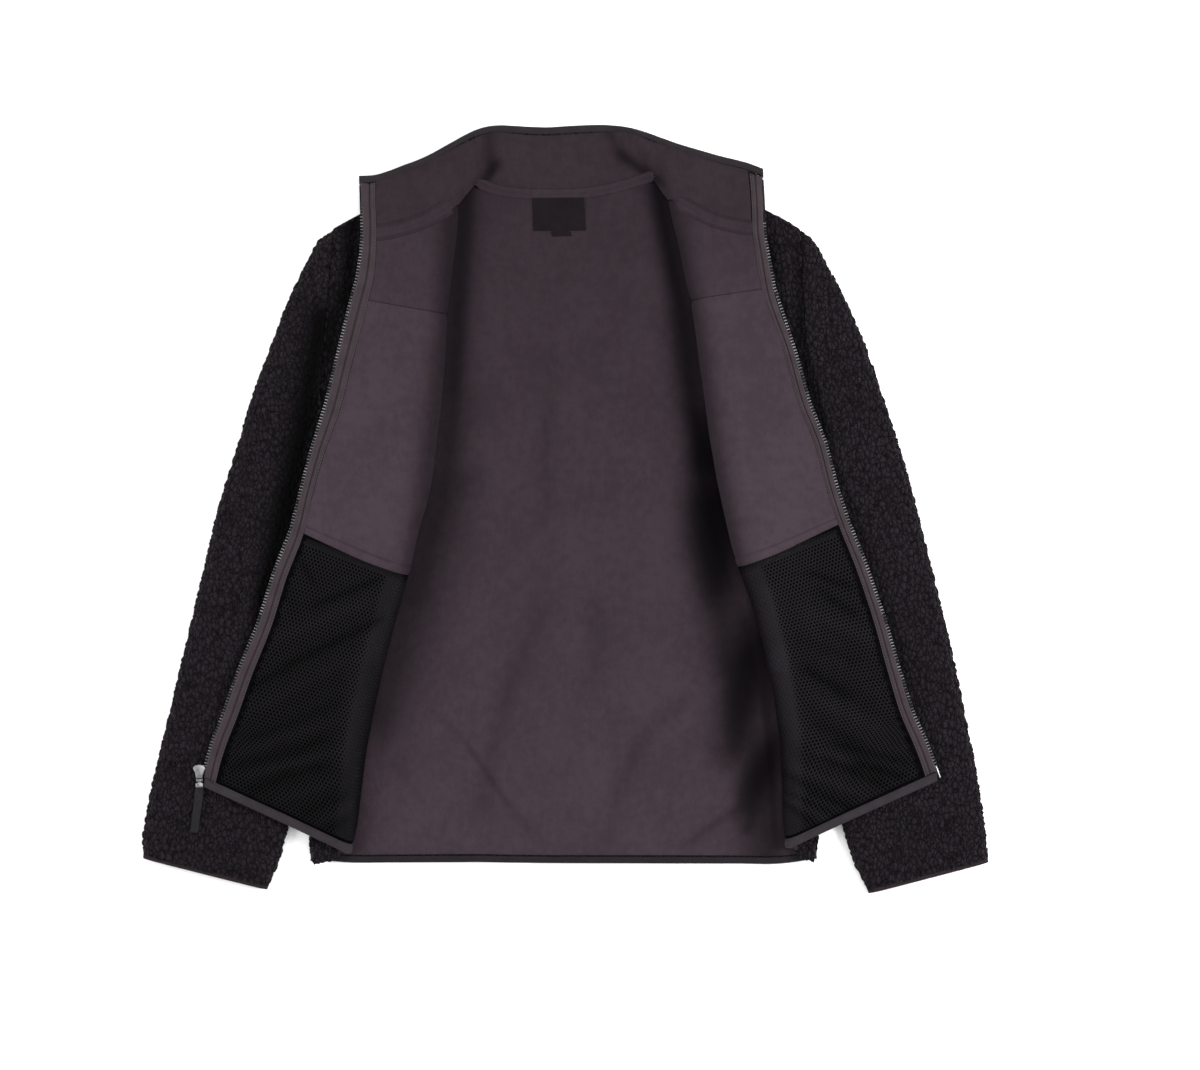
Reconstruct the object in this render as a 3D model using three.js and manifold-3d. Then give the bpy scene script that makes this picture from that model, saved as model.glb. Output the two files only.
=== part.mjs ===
// A sherpa fleece jacket laid open on its back: the lining faces up, and both fronts are
// turned back over the sleeves, so that their linings and mesh pockets face up too.
// Millimetres, +Z up, +Y towards the collar, +X to the wearer's-left sleeve as it lies.

import * as THREE from 'three';
import { mergeVertices } from 'three/addons/utils/BufferGeometryUtils.js';
import Module from 'manifold-3d';

const wasm = await Module();
wasm.setup();

// ---------------------------------------------------------------------------
// Driving dimensions
// ---------------------------------------------------------------------------

const SHERPA = 6;             // body wall, backing and pile together
const LINING = 1.5;           // smooth fleece lining
const MESH = 1.0;             // pocket net
const FACING = 1.3;           // strip that covers the zip tape's sewn edge
const BINDING = 1.1;          // folded tape round each raw edge
const GAP = 0.3;              // between pieces that are sewn together or lie on each other
const SEAM_GAP = 1.0;         // between the collar and the fronts it is sewn to

const LOWER_MID = 11.1;       // middle of the front's wall where it lies on the back lining
const UPPER_MID = 20;         // middle of the front's wall where it lies over the sleeve
const HUMP_LENGTH = 60;       // how far the rolled edge's rise dies away across the front
const SHOULDER_RISE = 15;     // how far the shoulder bows up between neck and sleeve
const SLEEVE_HEIGHT = 16;     // both walls of a flattened sleeve and the air between
const SLEEVE_AIR = 3.4;       // air between a sleeve's two walls
const COLLAR_WALL = 5;        // the collar's outer layer
const PINCH = 0.62;           // what is left of a pile wall's thickness in a sewn edge
const PINCH_REACH = 12;       // how far in from the edge the wall is pinched

const TAPE_SHOWS = 4.6;       // zip tape and teeth outside the facing
const SHELL_INSET = 6;        // from the zip's edge to the outer layer's edge
const BINDING_WIDTH = 7.5;    // the part of a hem or collar binding that lies on the cloth
const BINDING_NOSE = 1.6;     // the part of a binding past the raw edge
const COLLAR_BAND = 6.8;      // the same on the collar
const BINDING_TURN = 0.9;     // how far past the raw edge a binding's flat faces reach
const BINDING_INSIDE = 0.6;   // the same for the hollow of its fold
const HEM_END = 4.6;          // from the zip's edge to the end of the hem's binding
const HEM_WALL = { low: 1.7, high: 5.2 };                // the back's wall, pinched at the hem
const CUFF_BAND = 8;          // a cuff's bound edge
const CUFF_TRIM = { thinner: 1.6, wall: 4.3, lift: 0.5 };  // its tube, against the sleeve's
const ROW_STEP = 45;          // cloth between two of a front's rows
const HEM_ROW_STEP = 40;      // the same next to the hem
const EDGE_LIFT_REACH = 55;   // how far in from the zip a front's edge is lifted
const SEAM_SHARE = 0.004;     // part of a row left open on each side of a seam

const SIDES = { L: -1, R: 1 };

// Where the body ends at each side: shoulder point, underarm, then down the side fold.
const SIDE_LINE = {
  L: [
    { y: 282, x: -234 }, { y: 50, x: -252 }, { y: -60, x: -255 },
    { y: -200, x: -258 }, { y: -300, x: -259 }, { y: -352, x: -256 },
  ],
  R: [
    { y: 282, x: 234.5 }, { y: 50, x: 247.5 }, { y: -60, x: 250.5 },
    { y: -200, x: 253.5 }, { y: -300, x: 254.5 }, { y: -352, x: 251 },
  ],
};

// One row for each line across a front, from the collar seam to the hem.
// roll: the turned-back edge seen from above; zip: the outer edge of the zip teeth;
// side: how far up the armhole or side fold the row ends; bend: radius of the turned edge;
// strip: width of the facing with the teeth; lift: how far the zip edge stands up.
const FRONT_ROWS = {
  L: [
    { roll: [-107, 306], zip: [-205, 275], side: 281, bend: 5.5, strip: 16, lift: 2.5 },
    { roll: [-111, 262], zip: [-206.5, 255], side: 250, bend: 7.5, strip: 16.5, lift: 3 },
    { roll: [-115, 228], zip: [-210, 232], side: 215, bend: 8.5, strip: 17.5, lift: 3 },
    { roll: [-119, 195], zip: [-215.5, 213], side: 175, bend: 9, strip: 18.5, lift: 2 },
    { roll: [-123, 130], zip: [-231, 150], side: 110, bend: 9, strip: 17.5, lift: 1 },
    { roll: [-128, 78], zip: [-242, 105], side: 65, bend: 9, strip: 17, lift: 0.5 },
    { roll: [-135, 25], zip: [-256, 60], side: 20, bend: 9.5, strip: 15, lift: 1.5 },
    { roll: [-147, -22], zip: [-267, 18], side: -25, bend: 9.5, strip: 14, lift: 2.5 },
    { roll: [-157, -64], zip: [-276, -18], side: -70, bend: 9.5, strip: 15, lift: 1.5 },
    { roll: [-169, -107], zip: [-293, -61], side: -115, bend: 9.5, strip: 15.5, lift: 0.5 },
    { roll: [-181, -153], zip: [-309, -112], side: -160, bend: 9.5, strip: 15.5, lift: 1 },
    { roll: [-192, -202], zip: [-329, -161], side: -205, bend: 9, strip: 16, lift: 2 },
    { roll: [-200, -245], zip: [-345, -206], side: -250, bend: 8.5, strip: 16, lift: 1 },
    { roll: [-207.5, -303], zip: [-357, -237], side: -310, bend: 7.5, strip: 16, lift: 0.5 },
    { roll: [-213, -343], zip: [-365.5, -273], side: -350, bend: 6.5, strip: 15.5, lift: 0 },
  ],
  R: [
    { roll: [101, 312], zip: [200.5, 272], side: 281, bend: 5.5, strip: 15, lift: 2.5 },
    { roll: [111, 275], zip: [204, 253], side: 250, bend: 7.5, strip: 14.5, lift: 3 },
    { roll: [118, 240], zip: [207, 238], side: 215, bend: 9, strip: 14.5, lift: 3 },
    { roll: [125, 209], zip: [209.5, 223], side: 175, bend: 10, strip: 14, lift: 2 },
    { roll: [134, 145], zip: [230.5, 159], side: 110, bend: 10.5, strip: 12.5, lift: 3 },
    { roll: [141, 92], zip: [245, 108], side: 65, bend: 11, strip: 12.5, lift: 1.5 },
    { roll: [149, 42], zip: [261, 68], side: 20, bend: 11.5, strip: 12.5, lift: 0.5 },
    { roll: [159, -7], zip: [272, 25], side: -25, bend: 11.5, strip: 12, lift: 2 },
    { roll: [171, -55], zip: [283.5, -10], side: -70, bend: 11, strip: 12, lift: 2.5 },
    { roll: [185, -93], zip: [300, -50], side: -115, bend: 10.5, strip: 12.5, lift: 1 },
    { roll: [197, -135], zip: [320, -108], side: -160, bend: 10, strip: 13, lift: 0.5 },
    { roll: [207, -182], zip: [335, -160], side: -205, bend: 9.5, strip: 13.5, lift: 1.5 },
    { roll: [214, -232], zip: [350, -206], side: -250, bend: 8.5, strip: 14, lift: 1 },
    { roll: [217, -298], zip: [362, -231], side: -308, bend: 7.5, strip: 14.5, lift: 0.5 },
    { roll: [218, -338], zip: [375, -267], side: -348, bend: 6.5, strip: 15, lift: 0 },
  ],
};
const CHEST_SEAM = 3;         // row of the seam across the front's lining
const POCKET_SEAM = 8;        // row where the lining ends and the mesh pocket begins
const HEM_ROW = 14;
const HEM_PINCH_ROW = 13.78;  // row where the hem's binding reaches in to

// The collar's stations from one zip edge to the other. A station on a front names the shared
// column of that front where it starts (7 at the turned edge, 18 at the zip); one on the back
// gives its point on the neck seam. top: its point on the bound edge; z: height there.
const COLLAR_STATIONS = [
  { front: 'L', column: 18, top: [-207.5, 333], z: 12 },
  { front: 'L', column: 16, top: [-191, 334], z: 11 },
  { front: 'L', column: 15, top: [-177, 338.3], z: 10.5 },
  { front: 'L', column: 14, top: [-163, 343.8], z: 10 },
  { front: 'L', column: 13, top: [-148, 349.2], z: 10.5 },
  { front: 'L', column: 12, top: [-134, 355.5], z: 12 },
  { front: 'L', column: 11, top: [-123, 361.5], z: 13 },
  { front: 'L', column: 10, top: [-113, 367], z: 14 },
  { front: 'L', column: 8, top: [-102, 373.3], z: 14 },
  { front: 'L', column: 7, top: [-93, 378], z: 13 },
  { seam: [-96, 322.6], base: 12.3, top: [-81, 382.2], z: 11 },
  { seam: [-88, 329.4], base: 6.8, top: [-68, 384.2], z: 8 },
  { seam: [-78, 325], base: 3.4, top: [-54, 384], z: 5 },
  { seam: [-60, 318.2], base: 2.6, top: [-38, 383.2], z: 3.6 },
  { seam: [-36, 315.9], base: 2.5, top: [-20, 382.6], z: 3.3 },
  { seam: [-4, 317.2], base: 2.5, top: [2, 383.8], z: 3.3 },
  { seam: [28, 320.8], base: 2.5, top: [24, 384.8], z: 3.3 },
  { seam: [52, 326.4], base: 2.6, top: [38, 385], z: 3.8 },
  { seam: [74, 333.6], base: 3.4, top: [48, 384.4], z: 5.5 },
  { seam: [84, 336.4], base: 6.5, top: [59, 383], z: 8 },
  { seam: [92.5, 328.5], base: 11.4, top: [70, 380.2], z: 11 },
  { front: 'R', column: 7, top: [83, 375.8], z: 13.5 },
  { front: 'R', column: 8, top: [91, 372.6], z: 14.5 },
  { front: 'R', column: 10, top: [101, 368.8], z: 15 },
  { front: 'R', column: 11, top: [112, 364.8], z: 14.5 },
  { front: 'R', column: 12, top: [125, 361], z: 13.5 },
  { front: 'R', column: 13, top: [140, 356.8], z: 12 },
  { front: 'R', column: 14, top: [155, 352.7], z: 11 },
  { front: 'R', column: 15, top: [169, 349.5], z: 10.5 },
  { front: 'R', column: 16, top: [182, 346], z: 11 },
  { front: 'R', column: 18, top: [197.5, 340], z: 12 },
];
const STATION_STEP = 16;      // cloth between the two stations next to a zip edge
const COLLAR_FACING = 16;     // width of the facing with the teeth, up the collar
const COLLAR_PINCH = 0.865;   // share of its height where the collar's binding reaches in to
const COLLAR_ROWS = [0, 0.2, 0.45, 0.7, COLLAR_PINCH, 1];
const COLLAR_LEVEL = 0.25;    // share of its height that stays level with the seam
const COLLAR_DEPTH = 66;      // cloth from seam to bound edge
const COLLAR_EDGE_EASE = 0.15;  // binding's seat past the pinched wall

// The back's top edge (shoulders and neck seam) and hem, from one side to the other.
const BACK_TOP = [
  { x: -234, y: 282.5 }, { x: -201, y: 300 }, { x: -162, y: 312.5 }, { x: -124, y: 321 },
  { x: -91, y: 326.6 }, { x: -79, y: 324.2 }, { x: -60, y: 317.4 }, { x: -36, y: 315.1 },
  { x: -4, y: 316.4 }, { x: 28, y: 319.9 }, { x: 52, y: 325.4 }, { x: 74, y: 332.4 },
  { x: 86, y: 334 }, { x: 124, y: 325 }, { x: 162, y: 315 }, { x: 201, y: 301 },
  { x: 234.5, y: 282.5 },
];
const BACK_HEM = [
  { x: -256, y: -348 }, { x: -222, y: -352 }, { x: -100, y: -351.5 }, { x: 0, y: -352.6 },
  { x: 100, y: -352.8 }, { x: 222, y: -353 }, { x: 251, y: -348 },
];
const BACK_LINED = 0.0028;    // row where the lining starts, just below the collar's wall
const BACK_PINCH = 0.986;     // row from which the back's wall is pinched for the binding
const BACK_ROWS = [0, 0.04, 0.12, 0.24, 0.38, 0.52, 0.66, 0.78, 0.88, 0.95, 0.975, BACK_PINCH, 1];

// Soft creases in the back lining, and the drag folds of the two mesh pockets.
const BACK_CREASES = [
  { from: [62, -258], to: [112, -330], height: 2.2, width: 11 },
  { from: [118, -232], to: [186, -322], height: 2.6, width: 13 },
  { from: [20, -120], to: [84, -200], height: 1.2, width: 16 },
  { from: [-96, -150], to: [-150, -300], height: 2.0, width: 14 },
  { from: [-2, 120], to: [-8, -180], height: 0.9, width: 12 },
];
const POCKET_FOLDS = {
  L: [
    { from: [-184, -78], to: [-238, -98], height: 1.6, width: 9 },
    { from: [-189, -112], to: [-292, -168], height: 3.2, width: 10 },
    { from: [-206, -200], to: [-296, -224], height: 2.6, width: 10 },
    { from: [-232, -256], to: [-312, -266], height: 2.4, width: 9 },
    { from: [-219, -288], to: [-282, -304], height: 2.6, width: 8 },
    { from: [-214, -146], to: [-300, -196], height: 1.6, width: 9 },
  ],
  R: [
    { from: [222, -60], to: [270, -94], height: 1.8, width: 10 },
    { from: [227, -122], to: [312, -190], height: 3.4, width: 11 },
    { from: [240, -186], to: [326, -262], height: 3.4, width: 11 },
    { from: [230, -232], to: [300, -288], height: 2.6, width: 9 },
    { from: [224, -270], to: [250, -308], height: 2.2, width: 8 },
    { from: [250, -104], to: [306, -140], height: 1.8, width: 10 },
  ],
};

// One row for each ring of a sleeve from the armhole to the cuff: its two edges as it lies.
const SLEEVE_RINGS = {
  L: [
    { outer: [-234.6, 282.6], inner: [-252.6, 49] }, { outer: [-249, 271], inner: [-253.6, 36] },
    { outer: [-262, 247], inner: [-254.6, 23] }, { outer: [-280, 210], inner: [-255.8, 6] },
    { outer: [-298, 163], inner: [-256.8, -14] }, { outer: [-314, 120], inner: [-257.6, -38] },
    { outer: [-333, 57], inner: [-258.6, -70] }, { outer: [-349, 6], inner: [-259.4, -105] },
    { outer: [-363, -52], inner: [-260.2, -145] }, { outer: [-378, -115], inner: [-261, -186] },
    { outer: [-393, -178], inner: [-262.6, -226] }, { outer: [-408, -240], inner: [-266, -262] },
    { outer: [-417, -278], inner: [-273, -296] }, { outer: [-423, -310], inner: [-280, -328] },
    { outer: [-426, -331], inner: [-288, -356] }, { outer: [-425, -341], inner: [-296, -373.5] },
  ],
  R: [
    { outer: [235.2, 282.6], inner: [248.2, 49] }, { outer: [249, 271], inner: [249.2, 36] },
    { outer: [262, 248], inner: [250.2, 23] }, { outer: [280, 214], inner: [251.4, 6] },
    { outer: [299, 171], inner: [252.4, -14] }, { outer: [316, 123], inner: [253.2, -38] },
    { outer: [337, 59], inner: [254.2, -70] }, { outer: [353, 3], inner: [255, -105] },
    { outer: [367, -54], inner: [255.8, -145] }, { outer: [381, -110], inner: [256.6, -186] },
    { outer: [394, -168], inner: [258.2, -226] }, { outer: [409, -242], inner: [262, -262] },
    { outer: [416, -280], inner: [270, -296] }, { outer: [420.5, -312], inner: [280, -330] },
    { outer: [423, -334], inner: [289, -358] }, { outer: [424, -345], inner: [299.5, -377.5] },
  ],
};
// A flattened tube's section, from its inner edge over the top to its outer edge and back
// underneath: along is the share of its width, up the share of its height.
const TUBE_SECTION = [
  { along: 0.02, up: 0.2 }, { along: 0, up: 0.5 }, { along: 0.035, up: 0.82 },
  { along: 0.12, up: 0.96 }, { along: 0.32, up: 1 }, { along: 0.6, up: 1 },
  { along: 0.86, up: 0.96 }, { along: 0.965, up: 0.82 }, { along: 1, up: 0.5 },
  { along: 0.98, up: 0.2 }, { along: 0.93, up: 0 }, { along: 0.6, up: 0 },
  { along: 0.32, up: 0 }, { along: 0.07, up: 0 },
];

const LABEL = { width: 52, drop: 33, left: -34, top: 313, thick: 0.6 };
const SIZE_TAB = { width: 19, drop: 5, left: -15, top: 279.4, thick: 0.5 };
const LABEL_SKEW = { left: 1.5, right: 1.8, top: 0.6, foot: 0.4 };  // how askew both hang

// The slider on the left zip edge, seen from its back, and its pull, about the pull's pin.
const PULL_PIVOT = [-366.3, -270, 19.3];
const SLIDER = {
  crown: 5.85, tail: 3.25, top: 15.2, end: 2.4, plate: 1.5, upper: 3, lower: -2.4, post: 1.4,
  waist: 4.4, flare: 8, flareOut: 0.9, postLow: 8.6, postHigh: 13,
};
const PULL = {
  pin: 0.9, bore: 1.25, eye: 2.1, eyeWidth: 3.4, cheek: 1.2, stemWidth: 7.4, stemEnd: 7.2,
  stemHalf: 0.8, tabTop: 3.2, tabEnd: 52.5, tabWide: 8.6, tabNarrow: 8, tabThick: 1.9,
  tabStart: 0.6, tabDrift: -5.5,
};
const ZIP_PIN = { from: 13.688, to: 14, inset: 1.4, radius: 1.35 };

const COLOURS = {
  sherpa: [0x222024, 0.95, 0], lining: [0x443b41, 0.9, 0], mesh: [0x1b191c, 0.8, 0],
  facing: [0x4a4248, 0.85, 0], binding: [0x38353a, 0.8, 0], tape: [0x2c292d, 0.8, 0],
  label: [0x18171a, 0.6, 0], metal: [0x9a999c, 0.3, 1], tab: [0x1c1b1e, 0.5, 0],
};

// ---------------------------------------------------------------------------
// Small helpers
// ---------------------------------------------------------------------------

const V = (x, y, z = 0) => new THREE.Vector3(x, y, z);
const smooth = (t) => THREE.MathUtils.smoothstep(t, 0, 1);
const lerp = THREE.MathUtils.lerp;

/** Value at x of a table of {key, value} rows, straight between the rows. */
function tableAt(rows, key, value, x) {
  const rising = rows[rows.length - 1][key] > rows[0][key];
  const list = rising ? rows : [...rows].reverse();
  if (x <= list[0][key]) return list[0][value];
  for (let i = 1; i < list.length; i += 1) {
    if (x <= list[i][key]) {
      const t = (x - list[i - 1][key]) / (list[i][key] - list[i - 1][key]);
      return lerp(list[i - 1][value], list[i][value], t);
    }
  }
  return list[list.length - 1][value];
}

/** A smooth curve through one column of a table, read by row number. */
function columnCurve(rows, column) {
  const points = rows.map((row) => {
    const value = row[column];
    return Array.isArray(value) ? new THREE.Vector2(...value) : new THREE.Vector2(value, 0);
  });
  const before = points[0].clone().multiplyScalar(2).sub(points[1]);
  const [last, nearLast] = [points[points.length - 1], points[points.length - 2]];
  const after = last.clone().multiplyScalar(2).sub(nearLast);
  const curve = new THREE.SplineCurve([before, ...points, after]);
  return (row) => curve.getPoint((row + 1) / (points.length + 1));
}

/** Height of a set of soft folds over one point of the plan. */
function foldHeight(folds, x, y) {
  let height = 0;
  for (const fold of folds) {
    const run = V(...fold.to).sub(V(...fold.from));
    const away = V(x, y).sub(V(...fold.from));
    const along = away.dot(run) / run.lengthSq();
    const across = away.clone().addScaledVector(run, -along).length();
    const ends = smooth(along * 3 + 0.5) * smooth((1 - along) * 3 + 0.5);
    height += fold.height * ends * Math.exp(-((across / fold.width) ** 2));
  }
  return height;
}

/** Closed solid between two equal grids of points, walled in along their four edges. */
function solidBetween(top, bottom) {
  const rows = top.length;
  const cols = top[0].length;
  const positions = [...top.flat(), ...bottom.flat()].flatMap((p) => [p.x, p.y, p.z]);
  const upper = (i, j) => i * cols + j;
  const lower = (i, j) => rows * cols + i * cols + j;
  const index = [];
  const quad = (a, b, c, d) => index.push(a, b, c, a, c, d);
  for (let i = 0; i < rows - 1; i += 1) {
    for (let j = 0; j < cols - 1; j += 1) {
      quad(upper(i, j), upper(i + 1, j), upper(i + 1, j + 1), upper(i, j + 1));
      quad(lower(i, j), lower(i, j + 1), lower(i + 1, j + 1), lower(i + 1, j));
    }
  }
  for (let i = 0; i < rows - 1; i += 1) {
    quad(upper(i, 0), lower(i, 0), lower(i + 1, 0), upper(i + 1, 0));
    quad(upper(i + 1, cols - 1), lower(i + 1, cols - 1), lower(i, cols - 1), upper(i, cols - 1));
  }
  for (let j = 0; j < cols - 1; j += 1) {
    quad(upper(0, j + 1), lower(0, j + 1), lower(0, j), upper(0, j));
    quad(upper(rows - 1, j), lower(rows - 1, j), lower(rows - 1, j + 1), upper(rows - 1, j + 1));
  }
  return outwards(positions, index);
}

/** Closed solid from a grid that closes on itself both ways, such as a tube's wall. */
function solidRing(grid) {
  const rows = grid.length;
  const cols = grid[0].length;
  const positions = grid.flat().flatMap((p) => [p.x, p.y, p.z]);
  const at = (i, j) => (i % rows) * cols + (j % cols);
  const index = [];
  for (let i = 0; i < rows; i += 1) {
    for (let j = 0; j < cols; j += 1) {
      index.push(at(i, j), at(i + 1, j), at(i + 1, j + 1));
      index.push(at(i, j), at(i + 1, j + 1), at(i, j + 1));
    }
  }
  return outwards(positions, index);
}

/** A geometry from points and triangles, turned so that its faces point out. */
function outwards(positions, index) {
  const corner = (k) => V(positions[3 * k], positions[3 * k + 1], positions[3 * k + 2]);
  let volume = 0;
  for (let k = 0; k < index.length; k += 3) {
    volume += corner(index[k]).dot(corner(index[k + 1]).cross(corner(index[k + 2])));
  }
  const faces = volume > 0 ? index : [...index].reverse();
  const geometry = new THREE.BufferGeometry();
  geometry.setAttribute('position', new THREE.Float32BufferAttribute(positions, 3));
  geometry.setIndex(faces);
  geometry.computeVertexNormals();
  return geometry;
}

const jacket = new THREE.Group();

/** Adds one named piece to the jacket. */
function addPiece(name, geometry, finish, parent = jacket) {
  const [color, roughness, metalness] = COLOURS[finish];
  const mesh = new THREE.Mesh(
    geometry,
    new THREE.MeshStandardMaterial({ color, roughness, metalness }),
  );
  mesh.name = name;
  parent.add(mesh);
  return mesh;
}

/** A wall over a grid of {row, col} cells: point(row, col, height) gives each skin's points. */
function wallOver(rows, cols, point, low, high) {
  const skin = (height) => rows.map((row, i) => cols.map((col, j) => (
    point(row, col, typeof height === 'function' ? height(row, col, i, j) : height)
  )));
  return solidBetween(skin(high), skin(low));
}

// ---------------------------------------------------------------------------
// The surface of a front: one cloth that lies on the back, turns over and lies back out
// ---------------------------------------------------------------------------

// Shared columns: under the bend from the side in, round the bend, then out to the facing.
const LOWER_SHARES = [1, 0.66, 0.33];
const BEND_LEAD = 6;          // from the last of these to the start of the bend
const BEND_SHARES = [-1, -0.67, -0.34, 0, 0.34, 0.67, 1];
const UPPER_SHARES = [0.1, 0.24, 0.42, 0.62, 0.81];

class FrontSurface {
  constructor(name) {
    this.name = name;
    this.sign = SIDES[name];
    const rows = FRONT_ROWS[name];
    this.roll = columnCurve(rows, 'roll');
    this.zip = columnCurve(rows, 'zip');
    this.sideHeight = columnCurve(rows, 'side');
    this.bend = columnCurve(rows, 'bend');
    this.strip = columnCurve(rows, 'strip');
    this.lift = columnCurve(rows, 'lift');
  }

  /** The row's plan: turned edge, directions to the zip and to the side, and their reach. */
  row(v) {
    const zip = this.zip(v);
    const edge = this.roll(v);
    const toZip = zip.clone().sub(edge).normalize();
    const apex = edge.clone().addScaledVector(toZip, SHERPA / 2 + GAP + LINING);
    const height = this.sideHeight(v).x;
    const inset = this.sign * GAP;
    const side = new THREE.Vector2(
      tableAt(SIDE_LINE[this.name], 'y', 'x', height) - inset,
      height,
    );
    const toSide = side.clone().sub(apex).normalize();
    const bend = this.bend(v).x;
    const quarter = (bend * Math.PI) / 2;
    return {
      apex, toZip, toSide, bend, quarter,
      zipReach: zip.distanceTo(apex) - bend + quarter,
      sideReach: side.distanceTo(apex) - bend + quarter,
      strip: this.strip(v).x,
      lift: this.lift(v).x,
    };
  }

  /** Middle of the cloth, a millimetres round from the turned edge (towards the zip is +). */
  middle(v, a) {
    const row = this.row(v);
    const turned = THREE.MathUtils.clamp(a / row.bend, -Math.PI / 2, Math.PI / 2);
    const past = Math.max(Math.abs(a) - row.quarter, 0);
    const away = row.bend * (1 - Math.cos(turned)) + past;
    const share = smooth(0.5 + turned / Math.PI);
    const heading = row.toSide.clone().lerp(row.toZip, share).normalize();
    const plan = row.apex.clone().addScaledVector(heading, away);
    if (a < -row.quarter && v < 1) {
      const share = past / (row.sideReach - row.quarter);
      plan.y += SHOULDER_RISE * (1 - v) ** 2 * 4 * share * (1 - share);
    }
    let z = LOWER_MID + row.bend + row.bend * Math.sin(turned);
    if (a > row.quarter) {
      const top = LOWER_MID + 2 * row.bend;
      const edgeShare = smooth(1 - (row.zipReach - a) / EDGE_LIFT_REACH);
      z = lerp(top, UPPER_MID, smooth(past / HUMP_LENGTH)) + row.lift * edgeShare;
    }
    return V(plan.x, plan.y, z);
  }

  /** The direction that the lining faces at one place. */
  normal(v, a) {
    const dv = this.middle(Math.min(v + 0.02, HEM_ROW), a).sub(this.middle(Math.max(v - 0.02, 0), a));
    const da = this.middle(v, a + 0.5).sub(this.middle(v, a - 0.5));
    return dv.cross(da).multiplyScalar(this.sign).normalize();
  }

  /** A point on the cloth, moved out towards the lining by height. */
  point(v, a, height = 0) {
    return this.middle(v, a).addScaledVector(this.normal(v, a), height);
  }

  /** Half of the outer layer's thickness, pinched where an edge is sewn. */
  half(v, a) {
    const row = this.row(v);
    const nearZip = row.zipReach - SHELL_INSET - a;
    const nearHem = (HEM_PINCH_ROW - v) * HEM_ROW_STEP;
    const nearest = Math.min(nearHem, nearZip, v * ROW_STEP);
    return (SHERPA / 2) * lerp(PINCH, 1, smooth(nearest / PINCH_REACH));
  }

  /** Where the shared columns of this row lie, from the side round to the zip. */
  columns(v) {
    const row = this.row(v);
    const inner = row.zipReach - row.strip;
    const low = LOWER_SHARES.map((share) => -lerp(row.quarter, row.sideReach, share));
    const arc = BEND_SHARES.map((share) => share * row.quarter);
    const flat = UPPER_SHARES.map((share) => lerp(row.quarter, inner, share));
    return [
      ...low, -row.quarter - BEND_LEAD, ...arc, ...flat,
      inner, row.zipReach - SHELL_INSET, row.zipReach,
    ];
  }
}


const FIRST_LINED = 5;        // shared column where the front's lining starts, inside the bend
const TURNED_COLUMN = 10;     // shared column where the bend ends and the cloth lies flat
const FACING_COLUMN = 16;     // shared column of the facing's inner edge
const SHELL_ROWS = [
  0, 0.5, 1, 2, 3, 4, 5, 6, 7, 8, 9, 10, 11, 12, 12.7, 13.35, HEM_PINCH_ROW, HEM_ROW,
];
const FOLD_ROWS = [8.5, 9.5, 10.5, 11.5, 12.35];         // more rows for the pocket's folds
const BAND_ROWS = 0.2;        // part of a row that the hem's binding covers

/** Rows from the shared list between two seams, each drawn in by the seam's gap. */
function rowsBetween(first, last, gapFirst, gapLast, extra = []) {
  const inside = [...SHELL_ROWS, ...extra].filter((v) => v > first && v < last);
  inside.sort((p, q) => p - q);
  return [first + gapFirst, ...inside, last - gapLast];
}

/** The folded outer layer of a front. */
function frontShell(surface) {
  const cols = surface.columns(0).slice(0, -1).map((_, j) => j);
  const point = (v, j, height) => surface.point(v, surface.columns(v)[j], height);
  const half = (v, j) => surface.half(v, surface.columns(v)[j]);
  return wallOver(SHELL_ROWS, cols, point, (v, j) => -half(v, j), half);
}

/** Point of the outer layer's own facets at any row and column, moved out by height. */
function facetPoint(surface, v, step, height) {
  const last = SHELL_ROWS.length - 2;
  const i = Math.min(Math.max(SHELL_ROWS.findIndex((row) => row > v) - 1, 0), last);
  const j = Math.min(Math.floor(step), FACING_COLUMN - 1);
  const down = (v - SHELL_ROWS[i]) / (SHELL_ROWS[i + 1] - SHELL_ROWS[i]);
  const over = step - j;
  const corner = (di, dj) => {
    const row = SHELL_ROWS[i + di];
    const a = surface.columns(row)[j + dj];
    return surface.point(row, a, surface.half(row, a) + GAP + height);
  };
  const [start, end] = [corner(0, 0), corner(1, 1)];
  const turn = down >= over ? corner(1, 0) : corner(0, 1);
  const [first, second] = down >= over ? [down, over] : [over, down];
  return start.clone()
    .addScaledVector(turn.clone().sub(start), first)
    .addScaledVector(end.sub(turn), second);
}

/** A piece of lining or net on a front, from inside the bend to the facing. */
function frontLayer(surface, rows, thick, folds) {
  const steps = [];
  for (let j = FIRST_LINED; j <= FACING_COLUMN; j += 1) {
    steps.push(j === FACING_COLUMN ? j - 0.02 : j);
    if (folds && j >= TURNED_COLUMN && j < FACING_COLUMN) steps.push(j + 0.5);
  }
  const raised = (v, step) => {
    if (!folds) return 0;
    const place = facetPoint(surface, v, step, 0);
    const ends = Math.min(v - POCKET_SEAM, HEM_ROW - v, (FACING_COLUMN - step) / 1.6);
    const upperLeg = smooth((step - TURNED_COLUMN + 2) / 2);
    return foldHeight(folds, place.x, place.y) * smooth(ends * 1.6) * upperLeg;
  };
  const point = (v, step, height) => facetPoint(surface, v, step, height);
  return wallOver(rows, steps, point, raised, (v, step) => raised(v, step) + thick);
}

// ---------------------------------------------------------------------------
// The collar: one band, lining up, that climbs from the back on to the turned-back fronts
// ---------------------------------------------------------------------------

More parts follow.
